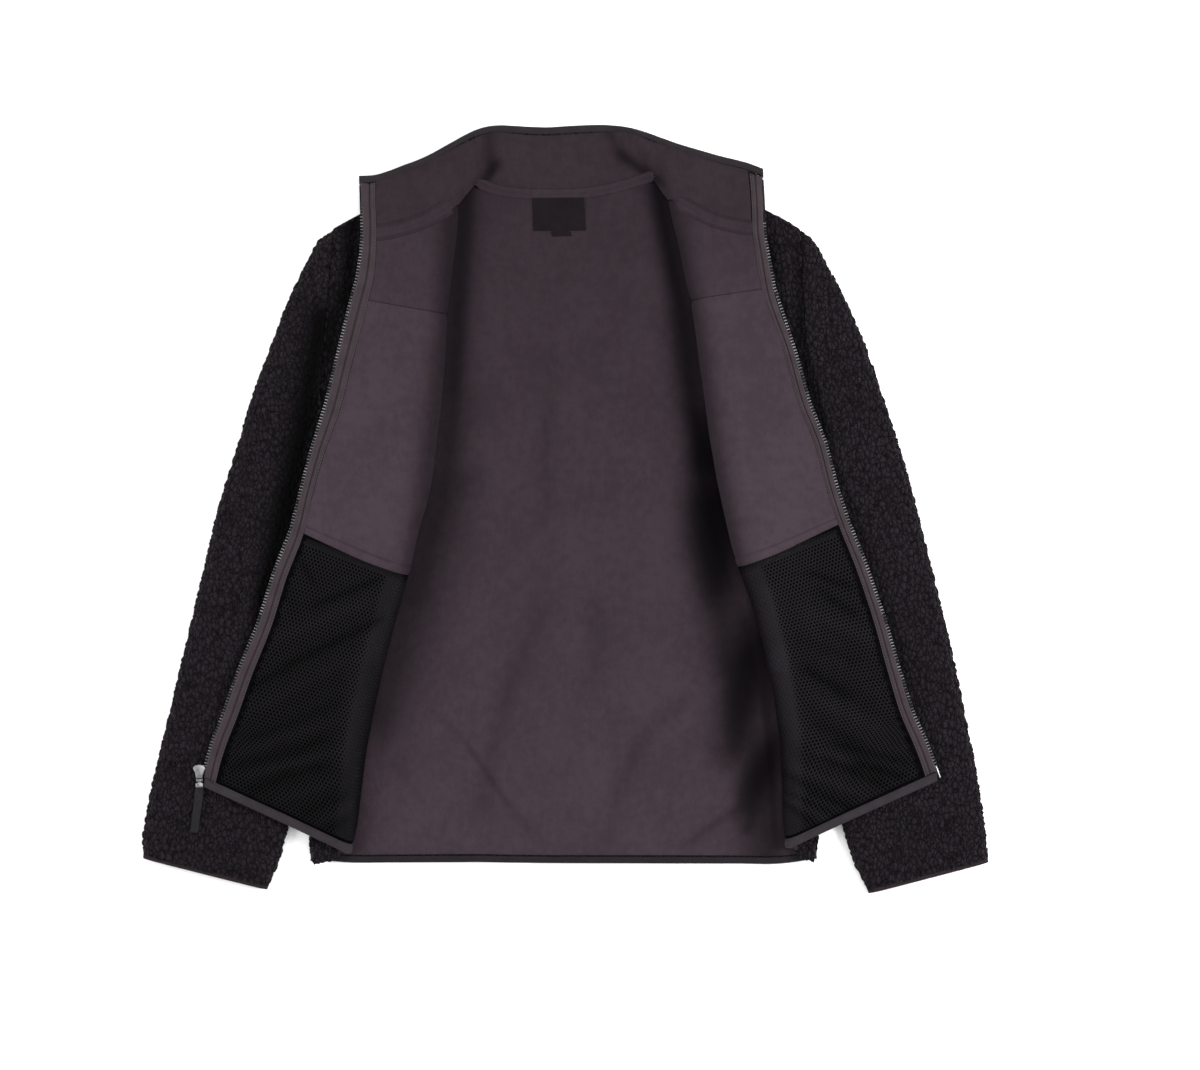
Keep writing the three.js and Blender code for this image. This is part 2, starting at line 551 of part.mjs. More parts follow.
class CollarSurface {
  constructor(fronts) {
    const seams = [];
    const tops = [];
    for (const station of COLLAR_STATIONS) {
      if (station.front) {
        const surface = fronts[station.front];
        const a = surface.columns(0)[station.column];
        const start = surface.middle(0, a);
        const lead = surface.middle(0.05, a).sub(start).normalize();
        seams.push(start.addScaledVector(lead, -SEAM_GAP));
      } else {
        seams.push(V(...station.seam, station.base));
      }
      tops.push(V(...station.top, station.z));
    }
    this.last = COLLAR_STATIONS.length - 1;
    this.seams = new THREE.CatmullRomCurve3(seams);
    this.tops = new THREE.CatmullRomCurve3(tops);
  }

  /** Middle of the collar's outer layer at a station, w of the way up from the seam. */
  middle(station, w) {
    const t = THREE.MathUtils.clamp(station / this.last, 0, 1);
    const seam = this.seams.getPoint(t);
    const top = this.tops.getPoint(t);
    const place = seam.clone().lerp(top, w);
    place.z = lerp(seam.z, top.z, smooth((w - COLLAR_LEVEL) / (1 - COLLAR_LEVEL)));
    return place;
  }

  /** The direction that the collar's lining faces. */
  normal(station, w) {
    const near = Math.max(station - 0.05, 0);
    const far = Math.min(station + 0.05, this.last);
    const along = this.middle(far, w).sub(this.middle(near, w));
    const up = this.middle(station, Math.min(w + 0.02, 1))
      .sub(this.middle(station, Math.max(w - 0.02, 0)));
    return along.cross(up).normalize();
  }

  /** A point on the collar moved out towards its lining; nothing goes below the table. */
  point(station, w, height = 0) {
    const place = this.middle(station, w).addScaledVector(this.normal(station, w), height);
    place.z = Math.max(place.z, 0);
    return place;
  }

  /** Half of the outer layer's thickness, pinched under the binding. */
  half(station, w) {
    const fromEnd = Math.min(station, this.last - station) * STATION_STEP - SHELL_INSET;
    const nearest = Math.min((COLLAR_PINCH - w) * COLLAR_DEPTH, fromEnd);
    return (COLLAR_WALL / 2) * lerp(PINCH, 1, smooth(nearest / PINCH_REACH));
  }
}

/** One layer of the collar between two insets from its zip edges. */
function collarLayer(surface, inset, low, high, rows) {
  const first = inset / STATION_STEP;
  const stations = [first];
  for (let k = Math.floor(first) + 1; k < surface.last - first; k += 1) stations.push(k);
  stations.push(surface.last - first);
  const point = (w, station, height) => surface.point(station, w, height);
  return wallOver(rows, stations, point, low, high);
}

// ---------------------------------------------------------------------------
// Strips along an edge
// ---------------------------------------------------------------------------

/** A folded tape round an edge: frame(t) gives the edge's point, way in and lining side. */
function bindingRound(stops, frame, half, width = BINDING_WIDTH) {
  const seat = half + GAP;
  const profile = [
    { along: width, up: -seat }, { along: -GAP, up: -seat },
    { along: -BINDING_INSIDE, up: 0 }, { along: -GAP, up: seat }, { along: width, up: seat },
  ];
  const out = [
    { along: width, up: -seat - BINDING }, { along: -BINDING_TURN, up: -seat - BINDING },
    { along: -BINDING_NOSE, up: 0 }, { along: -BINDING_TURN, up: seat + BINDING },
    { along: width, up: seat + BINDING },
  ];
  const skin = (section) => stops.map((t) => {
    const edge = frame(t);
    return section.map(({ along, up }) => edge.at.clone()
      .addScaledVector(edge.inward, along).addScaledVector(edge.face, up));
  });
  return solidBetween(skin(out), skin(profile));
}

/** The zip edge from the collar's top (q = -1) through the collar seam (0) to the hem. */
function zipEdgePoint(front, collar, q, inset, height) {
  if (q >= 0) return front.point(q, front.row(q).zipReach - inset, height);
  const share = inset / STATION_STEP;
  const station = front.name === 'L' ? share : collar.last - share;
  return collar.point(station, -q, height);
}

const ZIP_ROWS = [
  -0.855, -0.7, -0.45, -0.2, 0, 0.5, 1, 2, 3, 4, 5, 6, 7, 8, 9, 10, 11, 12, 12.7, 13.35, 13.79,
];
const TAPE_END = 13.68;       // row where the tape's teeth end, above the hem

/** The facing that covers the zip tape's sewn edge, from collar top to hem. */
function facingStrip(front, collar) {
  const shares = [0, 0.35, 0.7, 1];
  const inset = (q, share) => lerp(TAPE_SHOWS, front.row(Math.max(q, 0)).strip, share);
  const seat = (q, share) => {
    const outer = SHERPA / 2 * PINCH + GAP;
    return lerp(outer, SHERPA / 2 + GAP, smooth((inset(q, share) - SHELL_INSET) / PINCH_REACH));
  };
  const point = (q, share, height) => zipEdgePoint(front, collar, q, inset(q, share), height);
  return wallOver(ZIP_ROWS, shares, point, seat, (q, share) => seat(q, share) + FACING);
}

/** The zip tape with the raised line that its teeth stand in. */
function zipTape(front, collar) {
  const section = [
    { inset: SHELL_INSET - GAP, half: 0.7 }, { inset: 3.4, half: 0.7 },
    { inset: 3, half: 1.5 }, { inset: 0, half: 1.5 },
  ];
  const cols = section.map((_, j) => j);
  const point = (q, j, height) => zipEdgePoint(front, collar, q, section[j].inset, height);
  const rows = [...ZIP_ROWS.slice(0, -1), TAPE_END];
  return wallOver(rows, cols, point, (q, j) => -section[j].half, (q, j) => section[j].half);
}

/** The binding of the collar's top edge, from zip edge to zip edge. */
function collarBinding(surface) {
  const stops = Array.from({ length: surface.last + 1 }, (_, k) => k);
  const frame = (station) => {
    const at = surface.middle(station, 1);
    const inward = surface.middle(station, COLLAR_PINCH).sub(at).normalize();
    return { at, inward, face: surface.normal(station, 1) };
  };
  const half = (COLLAR_WALL / 2) * PINCH + COLLAR_EDGE_EASE;
  return bindingRound(stops, frame, half, COLLAR_BAND);
}

/** The binding of one front's hem, from the side fold round the bend to the zip. */
function frontHem(front) {
  const row = front.row(HEM_ROW);
  const reach = [...front.columns(HEM_ROW).slice(0, -1), row.zipReach - HEM_END];
  const frame = (a) => {
    const at = front.middle(HEM_ROW, a);
    const inward = front.middle(HEM_ROW - 0.1, a).sub(at).normalize();
    return { at, inward, face: front.normal(HEM_ROW, a) };
  };
  return bindingRound(reach, frame, (SHERPA / 2) * PINCH);
}

// ---------------------------------------------------------------------------
// Back, sleeves and their trims
// ---------------------------------------------------------------------------

/** A place on the back: u across from one side to the other, v down from neck to hem. */
function backPlan(u, v) {
  const across = BACK_TOP[u].x;
  const top = BACK_TOP[u].y;
  const hemX = lerp(BACK_HEM[0].x, BACK_HEM[BACK_HEM.length - 1].x, u / (BACK_TOP.length - 1));
  const hem = tableAt(BACK_HEM, 'x', 'y', hemX);
  const y = lerp(top, hem, v);
  const left = tableAt(SIDE_LINE.L, 'y', 'x', y) + GAP;
  const right = tableAt(SIDE_LINE.R, 'y', 'x', y) - GAP;
  const share = (across - BACK_TOP[0].x) / (BACK_TOP[BACK_TOP.length - 1].x - BACK_TOP[0].x);
  return V(lerp(left, right, share), y);
}

/** The back's outer layer: flat underneath, pinched up at the hem. */
function backShell() {
  const cols = BACK_TOP.map((_, j) => j);
  const point = (v, u, z) => backPlan(u, v).setZ(z);
  const low = (v) => (v >= BACK_PINCH ? HEM_WALL.low : 0);
  const high = (v) => (v >= BACK_PINCH ? HEM_WALL.high : SHERPA);
  return wallOver(BACK_ROWS, cols, point, low, high);
}

/** The back's lining with its soft creases, ending at the hem's binding. */
function backLining() {
  const cols = BACK_TOP.map((_, j) => j);
  const rows = [BACK_LINED, ...BACK_ROWS.slice(1, -1)];
  const seat = (v, u) => {
    const place = backPlan(u, v);
    const inside = smooth((v - 0.02) * 12) * smooth((0.97 - v) * 12);
    return SHERPA + GAP + foldHeight(BACK_CREASES, place.x, place.y) * inside;
  };
  const point = (v, u, z) => backPlan(u, v).setZ(z);
  return wallOver(rows, cols, point, seat, (v, u) => seat(v, u) + LINING);
}

/** The binding of the back's hem. */
function backHem() {
  const stops = BACK_TOP.map((_, u) => u);
  const middle = (HEM_WALL.low + HEM_WALL.high) / 2;
  const frame = (u) => ({ at: backPlan(u, 1).setZ(middle), inward: V(0, 1), face: V(0, 0, 1) });
  return bindingRound(stops, frame, (HEM_WALL.high - HEM_WALL.low) / 2);
}

/** One ring of a flattened tube between two edge points; wall is how far in it lies. */
function tubeRing(ring, height, wall, lift) {
  const inner = V(...ring.inner);
  const run = V(...ring.outer).sub(inner);
  const width = run.length();
  const heading = run.normalize();
  return TUBE_SECTION.map(({ along, up }) => {
    const across = lerp(wall, width - wall, along);
    const z = lerp(lift + wall, lift + height - wall, up);
    return inner.clone().addScaledVector(heading, across).setZ(z);
  });
}

/** A flattened tube's wall from a list of rings, open at both ends. */
function tubeWall(rings, height, wall, lift = 0) {
  const outside = rings.map((ring) => tubeRing(ring, height, 0, lift));
  const inside = rings.map((ring) => tubeRing(ring, height, wall, lift));
  return solidRing([...outside, ...inside.reverse()]);
}

/** A sleeve's ring moved on along the sleeve by some distance. */
function ringBeyond(last, before, distance) {
  const move = (key) => {
    const end = V(...last[key]);
    const way = end.clone().sub(V(...before[key])).normalize();
    return end.addScaledVector(way, distance).toArray().slice(0, 2);
  };
  return { outer: move('outer'), inner: move('inner') };
}

const SLEEVE_WALL = (SLEEVE_HEIGHT - SLEEVE_AIR) / 2;

/** The bound edge of a cuff: a short thinner tube just past the sleeve's end. */
function cuffBinding(rings) {
  const last = rings[rings.length - 1];
  const before = rings[rings.length - 3];
  const stops = [GAP, 3, CUFF_BAND - 1, CUFF_BAND].map((d) => ringBeyond(last, before, d));
  return tubeWall(stops, SLEEVE_HEIGHT - CUFF_TRIM.thinner, CUFF_TRIM.wall, CUFF_TRIM.lift);
}

/** A flat label hanging from the neck seam over the back lining. */
function flatLabel({ width, drop, left, top, thick }) {
  const z = SHERPA + GAP + LINING + GAP;
  const right = left + width;
  const foot = top - drop;
  return plate([
    [left, top], [left + LABEL_SKEW.left, foot],
    [right + LABEL_SKEW.right, foot + LABEL_SKEW.foot], [right, top + LABEL_SKEW.top],
  ], z, z + thick);
}

// ---------------------------------------------------------------------------
// Zip hardware
// ---------------------------------------------------------------------------

/** A flat plate from an outline in the group's own plan, between two heights. */
function plate(points, low, high) {
  const shape = new THREE.Shape(points.map(([x, y]) => new THREE.Vector2(x, y)));
  const geometry = new THREE.ExtrudeGeometry(shape, { depth: high - low, bevelEnabled: false });
  return geometry.translate(0, 0, low);
}

/** A plate standing across X from an outline in Y and Z, centred at one x. */
function sidePlate(points, x, width) {
  const geometry = plate(points, -width / 2, width / 2);
  geometry.rotateY(Math.PI / 2).rotateX(Math.PI / 2);
  return geometry.translate(x, 0, 0);
}

/** A round bar along X through the pull's pivot. */
function crossBar(radius, width) {
  return new THREE.CylinderGeometry(radius, radius, width, 16).rotateZ(Math.PI / 2);
}

/** One solid from several that overlap, less those in cut. */
function joined(parts, cut = []) {
  const solid = (geometry) => {
    const bare = geometry.clone();
    for (const name of ['normal', 'uv']) bare.deleteAttribute(name);
    const welded = mergeVertices(bare, 1e-4);
    return new wasm.Manifold(new wasm.Mesh({
      numProp: 3,
      vertProperties: new Float32Array(welded.attributes.position.array),
      triVerts: new Uint32Array(welded.index.array),
    }));
  };
  let whole = solid(parts[0]);
  for (const part of parts.slice(1)) whole = whole.add(solid(part));
  for (const part of cut) whole = whole.subtract(solid(part));
  const mesh = whole.getMesh();
  return outwards([...mesh.vertProperties], [...mesh.triVerts]);
}

/** The slider: two plates held by a post, and two cheeks that carry the pull's pin. */
function zipSlider() {
  const { crown, tail, top, end, plate: thick, upper, lower, post } = SLIDER;
  const { waist, flare, flareOut, postLow, postHigh } = SLIDER;
  const wide = tail + flareOut;
  const outline = [
    [-crown, top - 2.2], [-crown, top - 3.4], [-wide, flare], [-tail, waist], [-tail, end],
    [tail, end], [tail, waist], [wide, flare], [crown, top - 3.4], [crown, top - 2.2],
    [crown * 0.7, top - 0.6], [0, top], [-crown * 0.7, top - 0.6],
  ];
  const slim = post * 0.8;
  const middle = [[-post, postLow], [slim, postLow], [slim, postHigh], [-post, postHigh]];
  const cheek = [
    [-1.5, -1], [-0.8, -1.5], [4.4, -1.9], [4.4, upper + 0.4], [2.6, upper + 0.4],
    [1.4, 1.5], [-0.8, 1.5], [-1.5, 0.9],
  ];
  const reach = PULL.eyeWidth / 2 + GAP + PULL.cheek / 2;
  return joined([
    plate(outline, upper, upper + thick), plate(outline, lower, lower + thick - 0.1),
    plate(middle, lower + 0.2, upper + 0.4),
    sidePlate(cheek, -reach, PULL.cheek), sidePlate(cheek, reach, PULL.cheek),
    crossBar(PULL.pin, 2 * reach + 0.4),
  ]);
}

/** The pull's metal link: an eye round the pin and a wider tongue over the tab. */
function pullLink() {
  const { eye, bore, eyeWidth, stemWidth, stemEnd, stemHalf } = PULL;
  const neck = eyeWidth / 2;
  const wide = stemWidth / 2;
  const tongue = [
    [-neck, -1.5], [-neck, -2.6], [-wide, -3.4], [-wide, -stemEnd], [wide, -stemEnd],
    [wide, -3.4], [neck, -2.6], [neck, -1.5],
  ];
  const round = crossBar(eye, eyeWidth);
  return joined([round, plate(tongue, -stemHalf, stemHalf)], [crossBar(bore, eyeWidth * 2)]);
}

/** The pull's soft tab, lying a little askew under the link's tongue. */
function pullTab() {
  const { tabTop, tabEnd, tabWide, tabNarrow, tabThick, tabStart, tabDrift, stemHalf } = PULL;
  const [top, low] = [tabWide / 2, tabNarrow / 2];
  const outline = [
    [tabStart - top, -tabTop], [tabDrift - low, -tabEnd + 1.2], [tabDrift - low + 1.4, -tabEnd],
    [tabDrift + low - 1.2, -tabEnd - 0.6], [tabDrift + low, -tabEnd + 0.6],
    [tabStart + top, -tabTop],
  ];
  const high = -stemHalf - GAP;
  return plate(outline, high - tabThick, high);
}

/** The pin at the foot of the other zip edge. */
function zipPin(front) {
  const end = (v) => front.point(v, front.row(v).zipReach - ZIP_PIN.inset, 0);
  const [top, foot] = [end(ZIP_PIN.from), end(ZIP_PIN.to)];
  const run = foot.clone().sub(top);
  const geometry = new THREE.CylinderGeometry(ZIP_PIN.radius, ZIP_PIN.radius, run.length(), 10);
  const turn = new THREE.Quaternion().setFromUnitVectors(V(0, 1), run.clone().normalize());
  geometry.applyQuaternion(turn);
  const centre = top.lerp(foot, 0.5);
  return geometry.translate(centre.x, centre.y, centre.z);
}

// ---------------------------------------------------------------------------
// The jacket
// ---------------------------------------------------------------------------

const fronts = { L: new FrontSurface('L'), R: new FrontSurface('R') };
const collar = new CollarSurface(fronts);

addPiece('back_shell', backShell(), 'sherpa');
addPiece('back_lining', backLining(), 'lining');
addPiece('hem_binding_back', backHem(), 'binding');

for (const name of Object.keys(SIDES)) {
  const front = fronts[name];
  const yokeRows = rowsBetween(0, CHEST_SEAM, SEAM_SHARE, SEAM_SHARE);
  const chestRows = rowsBetween(CHEST_SEAM, POCKET_SEAM, SEAM_SHARE, SEAM_SHARE);
  const meshRows = rowsBetween(POCKET_SEAM, HEM_ROW - BAND_ROWS, SEAM_SHARE, 0, FOLD_ROWS);
  addPiece(`front_shell_${name}`, frontShell(front), 'sherpa');
  addPiece(`front_lining_yoke_${name}`, frontLayer(front, yokeRows, LINING), 'lining');
  addPiece(`front_lining_chest_${name}`, frontLayer(front, chestRows, LINING), 'lining');
  addPiece(
    `pocket_mesh_${name}`,
    frontLayer(front, meshRows, MESH, POCKET_FOLDS[name]),
    'mesh',
  );
  addPiece(`facing_${name}`, facingStrip(front, collar), 'facing');
  addPiece(`zip_tape_${name}`, zipTape(front, collar), 'tape');
  addPiece(`hem_binding_${name}`, frontHem(front), 'binding');
  const rings = SLEEVE_RINGS[name];
  addPiece(`sleeve_${name}`, tubeWall(rings, SLEEVE_HEIGHT, SLEEVE_WALL), 'sherpa');
  addPiece(`cuff_binding_${name}`, cuffBinding(rings), 'binding');
}

const collarHalf = (w, station) => collar.half(station, w);
const collarSeat = (w, station) => collarHalf(w, station) + GAP;
const liningTop = (w, station) => collarSeat(w, station) + LINING;
const liningRows = COLLAR_ROWS.slice(0, -1).map((w) => Math.min(w, COLLAR_PINCH - 0.012));
addPiece(
  'collar_shell',
  collarLayer(collar, SHELL_INSET, (w, s) => -collarHalf(w, s), collarHalf, COLLAR_ROWS),
  'sherpa',
);
addPiece(
  'collar_lining',
  collarLayer(collar, COLLAR_FACING + GAP, collarSeat, liningTop, liningRows),
  'lining',
);
addPiece('collar_binding', collarBinding(collar), 'binding');
addPiece('neck_label', flatLabel(LABEL), 'label');
addPiece('size_label', flatLabel(SIZE_TAB), 'label');

const hardware = new THREE.Group();
hardware.position.set(...PULL_PIVOT);
jacket.add(hardware);
addPiece('zip_slider', zipSlider(), 'metal', hardware);
addPiece('pull_link', pullLink(), 'metal', hardware);
addPiece('pull_tab', pullTab(), 'tab', hardware);
addPiece('zip_pin', zipPin(fronts.R), 'metal');

// The origin lies under the middle of the whole jacket, on the surface it rests on.
const extent = new THREE.Box3().setFromObject(jacket, true);
const centre = extent.getCenter(V(0, 0));
jacket.position.set(-centre.x, -centre.y, -extent.min.z);

export default jacket;
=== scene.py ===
"""A sherpa fleece jacket laid open on its back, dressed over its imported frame.

The fleece lining faces up and both fronts are turned back over the sleeves. Every piece of
cloth is read from its frame node as rows and columns of points, drawn as smooth cloth of its
own thickness, and finished with its own pile, nap, net or weave. Sizes are in metres.
"""

from __future__ import annotations

import logging
import math
from dataclasses import dataclass
from enum import Enum
from typing import Any, Callable, Iterable, Sequence

import bmesh
import bpy
import numpy as np
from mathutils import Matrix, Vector
from mathutils.bvhtree import BVHTree

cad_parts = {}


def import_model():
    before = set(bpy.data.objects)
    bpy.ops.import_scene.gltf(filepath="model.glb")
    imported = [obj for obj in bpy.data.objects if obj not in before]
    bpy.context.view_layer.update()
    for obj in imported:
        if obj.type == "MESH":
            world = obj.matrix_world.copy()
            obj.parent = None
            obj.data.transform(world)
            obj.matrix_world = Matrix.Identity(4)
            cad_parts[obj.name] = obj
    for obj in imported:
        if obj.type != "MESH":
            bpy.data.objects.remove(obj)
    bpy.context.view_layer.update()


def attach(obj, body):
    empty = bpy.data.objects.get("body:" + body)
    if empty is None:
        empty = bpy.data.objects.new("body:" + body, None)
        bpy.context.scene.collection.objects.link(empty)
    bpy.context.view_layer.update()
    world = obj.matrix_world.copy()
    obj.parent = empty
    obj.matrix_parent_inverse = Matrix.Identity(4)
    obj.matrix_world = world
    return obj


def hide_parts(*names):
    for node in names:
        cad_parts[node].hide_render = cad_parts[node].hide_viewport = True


LOG = logging.getLogger("jacket")
MM = 0.001
BODY = "jacket"
PULL_BODY = "pull"

Array = np.ndarray
Colour = tuple[float, float, float]


class Side(Enum):
    """The two fronts and sleeves, as they lie: L at -X and R at +X."""

    L = -1
    R = 1


def hex_colour(code: str) -> Colour:
    """Turn a written colour into the linear values that shaders take.

    Args:
        code: six hexadecimal digits, red first.

    Returns:
        The three linear channels.
    """
    channels = [int(code[k : k + 2], 16) / 255 for k in (0, 2, 4)]
    linear = [c / 12.92 if c <= 0.04045 else ((c + 0.055) / 1.055) ** 2.4 for c in channels]
    return (linear[0], linear[1], linear[2])


# ---------------------------------------------------------------------------
# Node trees
# ---------------------------------------------------------------------------


class Graph:
    """A short way to write a node tree: add nodes, join sockets, set values."""

    def __init__(self, tree: bpy.types.NodeTree) -> None:
        """Work on an empty tree."""
        self.tree = tree

    def add(self, kind: str, options: dict[str, Any] | None = None, **values: Any) -> Any:
        """Add a node and fill its inputs.

        Args:
            kind: the node's type name.
            options: properties set on the node itself.
            values: inputs by name with underscores for spaces; a socket is joined and
                anything else is set as the value.

        Returns:
            The new node.
        """
        node = self.tree.nodes.new(kind)
        for key, value in (options or {}).items():
            setattr(node, key, value)
        return self.set(node, **values)

    def set(self, node: Any, **values: Any) -> Any:
        """Fill a node's inputs by their names, and return the node."""
        for key, value in values.items():
            self.fill(node.inputs[key.replace("_", " ")], value)
        return node

    def fill(self, socket: Any, value: Any) -> None:
        """Join a socket to another, or set its value."""
        if isinstance(value, bpy.types.NodeSocket):
            self.tree.links.new(value, socket)
            return
        if socket.type == "RGBA" and len(value) == 3:
            value = (*value, 1.0)
        socket.default_value = value

    def math(self, operation: str, *values: Any, kind: str = "ShaderNodeMath") -> Any:
        """Add a Math node, fill its inputs in order and return its result."""
        node = self.add(kind, {"operation": operation})
        for socket, value in zip(node.inputs, values):
            self.fill(socket, value)
        return node.outputs[0]

    def vector(self, operation: str, *values: Any) -> Any:
        """Add a Vector Math node and return its vector result."""
        return self.math(operation, *values, kind="ShaderNodeVectorMath")

    def times(self, first: Any, second: Any) -> Any:
        """Multiply two numbers."""
        return self.math("MULTIPLY", first, second)

    def total(self, *parts: tuple[Any, float]) -> Any:
        """Add up numbers, each by its share."""
        sums = [value if share == 1.0 else self.times(value, share) for value, share in parts]
        while len(sums) > 1:
            sums[:2] = [self.math("ADD", sums[0], sums[1])]
        return sums[0]

    def scaled(self, vector: Any, amount: Any) -> Any:
        """Multiply a vector by a number."""
        node = self.add("ShaderNodeVectorMath", {"operation": "SCALE"}, Scale=amount)
        self.fill(node.inputs[0], vector)
        return node.outputs[0]

    def bent(self, place: Any, size: float, amount: Any, **noise: float) -> Any:
        """Move a place about by noise.

        Args:
            place: the place to move.
            size: how far apart the noise's swells are, in metres.
            amount: how far it moves the place.
            noise: the noise's other inputs.

        Returns:
            The moved place.
        """
        drift = self.add("ShaderNodeTexNoise", Vector=place, Scale=1 / size, **noise)
        away = self.vector("SUBTRACT", drift.outputs["Color"], (0.5, 0.5, 0.5))
        return self.vector("ADD", place, self.scaled(away, amount))

    def cells(self, feature: str, place: Any, scale: Any, **values: float) -> Any:
        """Add a jittered net of cells and return the distance that it measures."""
        net = self.add("ShaderNodeTexVoronoi", {"feature": feature}, Vector=place, Scale=scale, **values)
        return net.outputs["Distance"]

    def attribute(self, name: str) -> Any:
        """Read one of the mesh's own values in a material."""
        return self.add("ShaderNodeAttribute", {"attribute_name": name}).outputs["Fac"]

    def ramp(self, value: Any, low: float, high: float, start: float = 0.0, end: float = 1.0) -> Any:
        """Map a value from one range to another, smoothly and clamped."""
        node = self.add(
            "ShaderNodeMapRange",
            {"interpolation_type": "SMOOTHSTEP"},
            Value=value, From_Min=low, From_Max=high, To_Min=start, To_Max=end,
        )
        return node.outputs["Result"]

    def mix(self, share: Any, first: Any, second: Any) -> Any:
        """Mix two colours by a share."""
        node = self.add("ShaderNodeMix", {"data_type": "RGBA"})
        self.fill(node.inputs[0], share)
        self.fill(node.inputs[6], first)
        self.fill(node.inputs[7], second)
        return node.outputs[2]


def geometry_tree(name: str, **sizes: float) -> tuple[Graph, Any]:
    """Start a Geometry Nodes tree with named inputs.

    Args:
        name: the tree's name.
        sizes: the default of each named input.

    Returns:
        The graph and its inputs.
    """
    tree = bpy.data.node_groups.new(name, "GeometryNodeTree")
    tree.interface.new_socket("Geometry", in_out="INPUT", socket_type="NodeSocketGeometry")
    for key, default in sizes.items():
        made = tree.interface.new_socket(key, in_out="INPUT", socket_type="NodeSocketFloat")
        made.default_value = default
    tree.interface.new_socket("Geometry", in_out="OUTPUT", socket_type="NodeSocketGeometry")
    return Graph(tree), tree.nodes.new("NodeGroupInput").outputs


def finished_tree(graph: Graph, geometry: Any, material: bpy.types.Material) -> bpy.types.NodeTree:
    """End a tree: set the finish on its shape and give that out."""
    dressed = graph.add("GeometryNodeSetMaterial", Geometry=geometry, Material=material)
    end = graph.tree.nodes.new("NodeGroupOutput")
    graph.fill(end.inputs[0], dressed.outputs[0])
    return graph.tree


def kept_mesh(obj: bpy.types.Object, modifier: bpy.types.Modifier) -> bpy.types.Mesh:
    """Keep what an object's only modifier makes as its plain mesh.

    Args:
        obj: the object.
        modifier: the modifier, which is removed.

    Returns:
        The new mesh.
    """
    graph = bpy.context.evaluated_depsgraph_get()
    graph.update()
    made = bpy.data.meshes.new_from_object(obj.evaluated_get(graph), depsgraph=graph)
    obj.modifiers.remove(modifier)
    before = obj.data
    obj.data = made
    bpy.data.meshes.remove(before)
    return made


def run_tree(obj: bpy.types.Object, tree: bpy.types.NodeTree, values: dict[str, Any]) -> None:
    """Run a Geometry Nodes tree on an object and keep the result as its plain mesh.

    Args:
        obj: the object whose mesh is worked on and replaced.
        tree: the tree to run.
        values: the tree's inputs by name.
    """
    modifier = obj.modifiers.new("shape", "NODES")
    modifier.node_group = tree
    for item in tree.interface.items_tree:
        if item.item_type == "SOCKET" and item.in_out == "INPUT" and item.name in values:
            modifier[item.identifier] = values[item.name]
    obj.update_tag()
    kept_mesh(obj, modifier)


def placed_object(name: str, data: Any) -> bpy.types.Object:
    """Put a mesh, a light or a camera in the scene as an object."""
    obj = bpy.data.objects.new(name, data)
    bpy.context.scene.collection.objects.link(obj)
    return obj


# ---------------------------------------------------------------------------
# Cloth read from the frame: rows and columns of points, and smooth curves through them
# ---------------------------------------------------------------------------

WELD = 1e-5            # corners of a node's triangles closer than this are one point
RIM_ANGLE = 58.0       # degrees between a skin's facets and its rim's
MOST_CELLS = 60        # no row or column of a node has more cells than this
TINY = 1e-20           # keeps a length of nothing from dividing by zero

Quad = tuple[int, int, int, int]


def unit(vectors: Array) -> Array:
    """Scale vectors, which lie along the last axis, to a length of one."""
    return vectors / np.maximum(np.linalg.norm(vectors, axis=-1), TINY)[..., None]


def bell(away: Array, width: float) -> Array:
    """Fall off smoothly from 1, as a bell does, with distance over a width."""
    return np.exp(-((away / width) ** 2))


def lengths_to(line: Array) -> Array:
    """Measure the way along a line from its start to each of its points."""
    return np.concatenate([[0.0], np.cumsum(np.linalg.norm(np.diff(line, axis=0), axis=1))])


def sorted_pair(p: int, q: int) -> tuple[int, int]:
    """Name an edge by its two corners, the lower number first."""
    return (min(p, q), max(p, q))


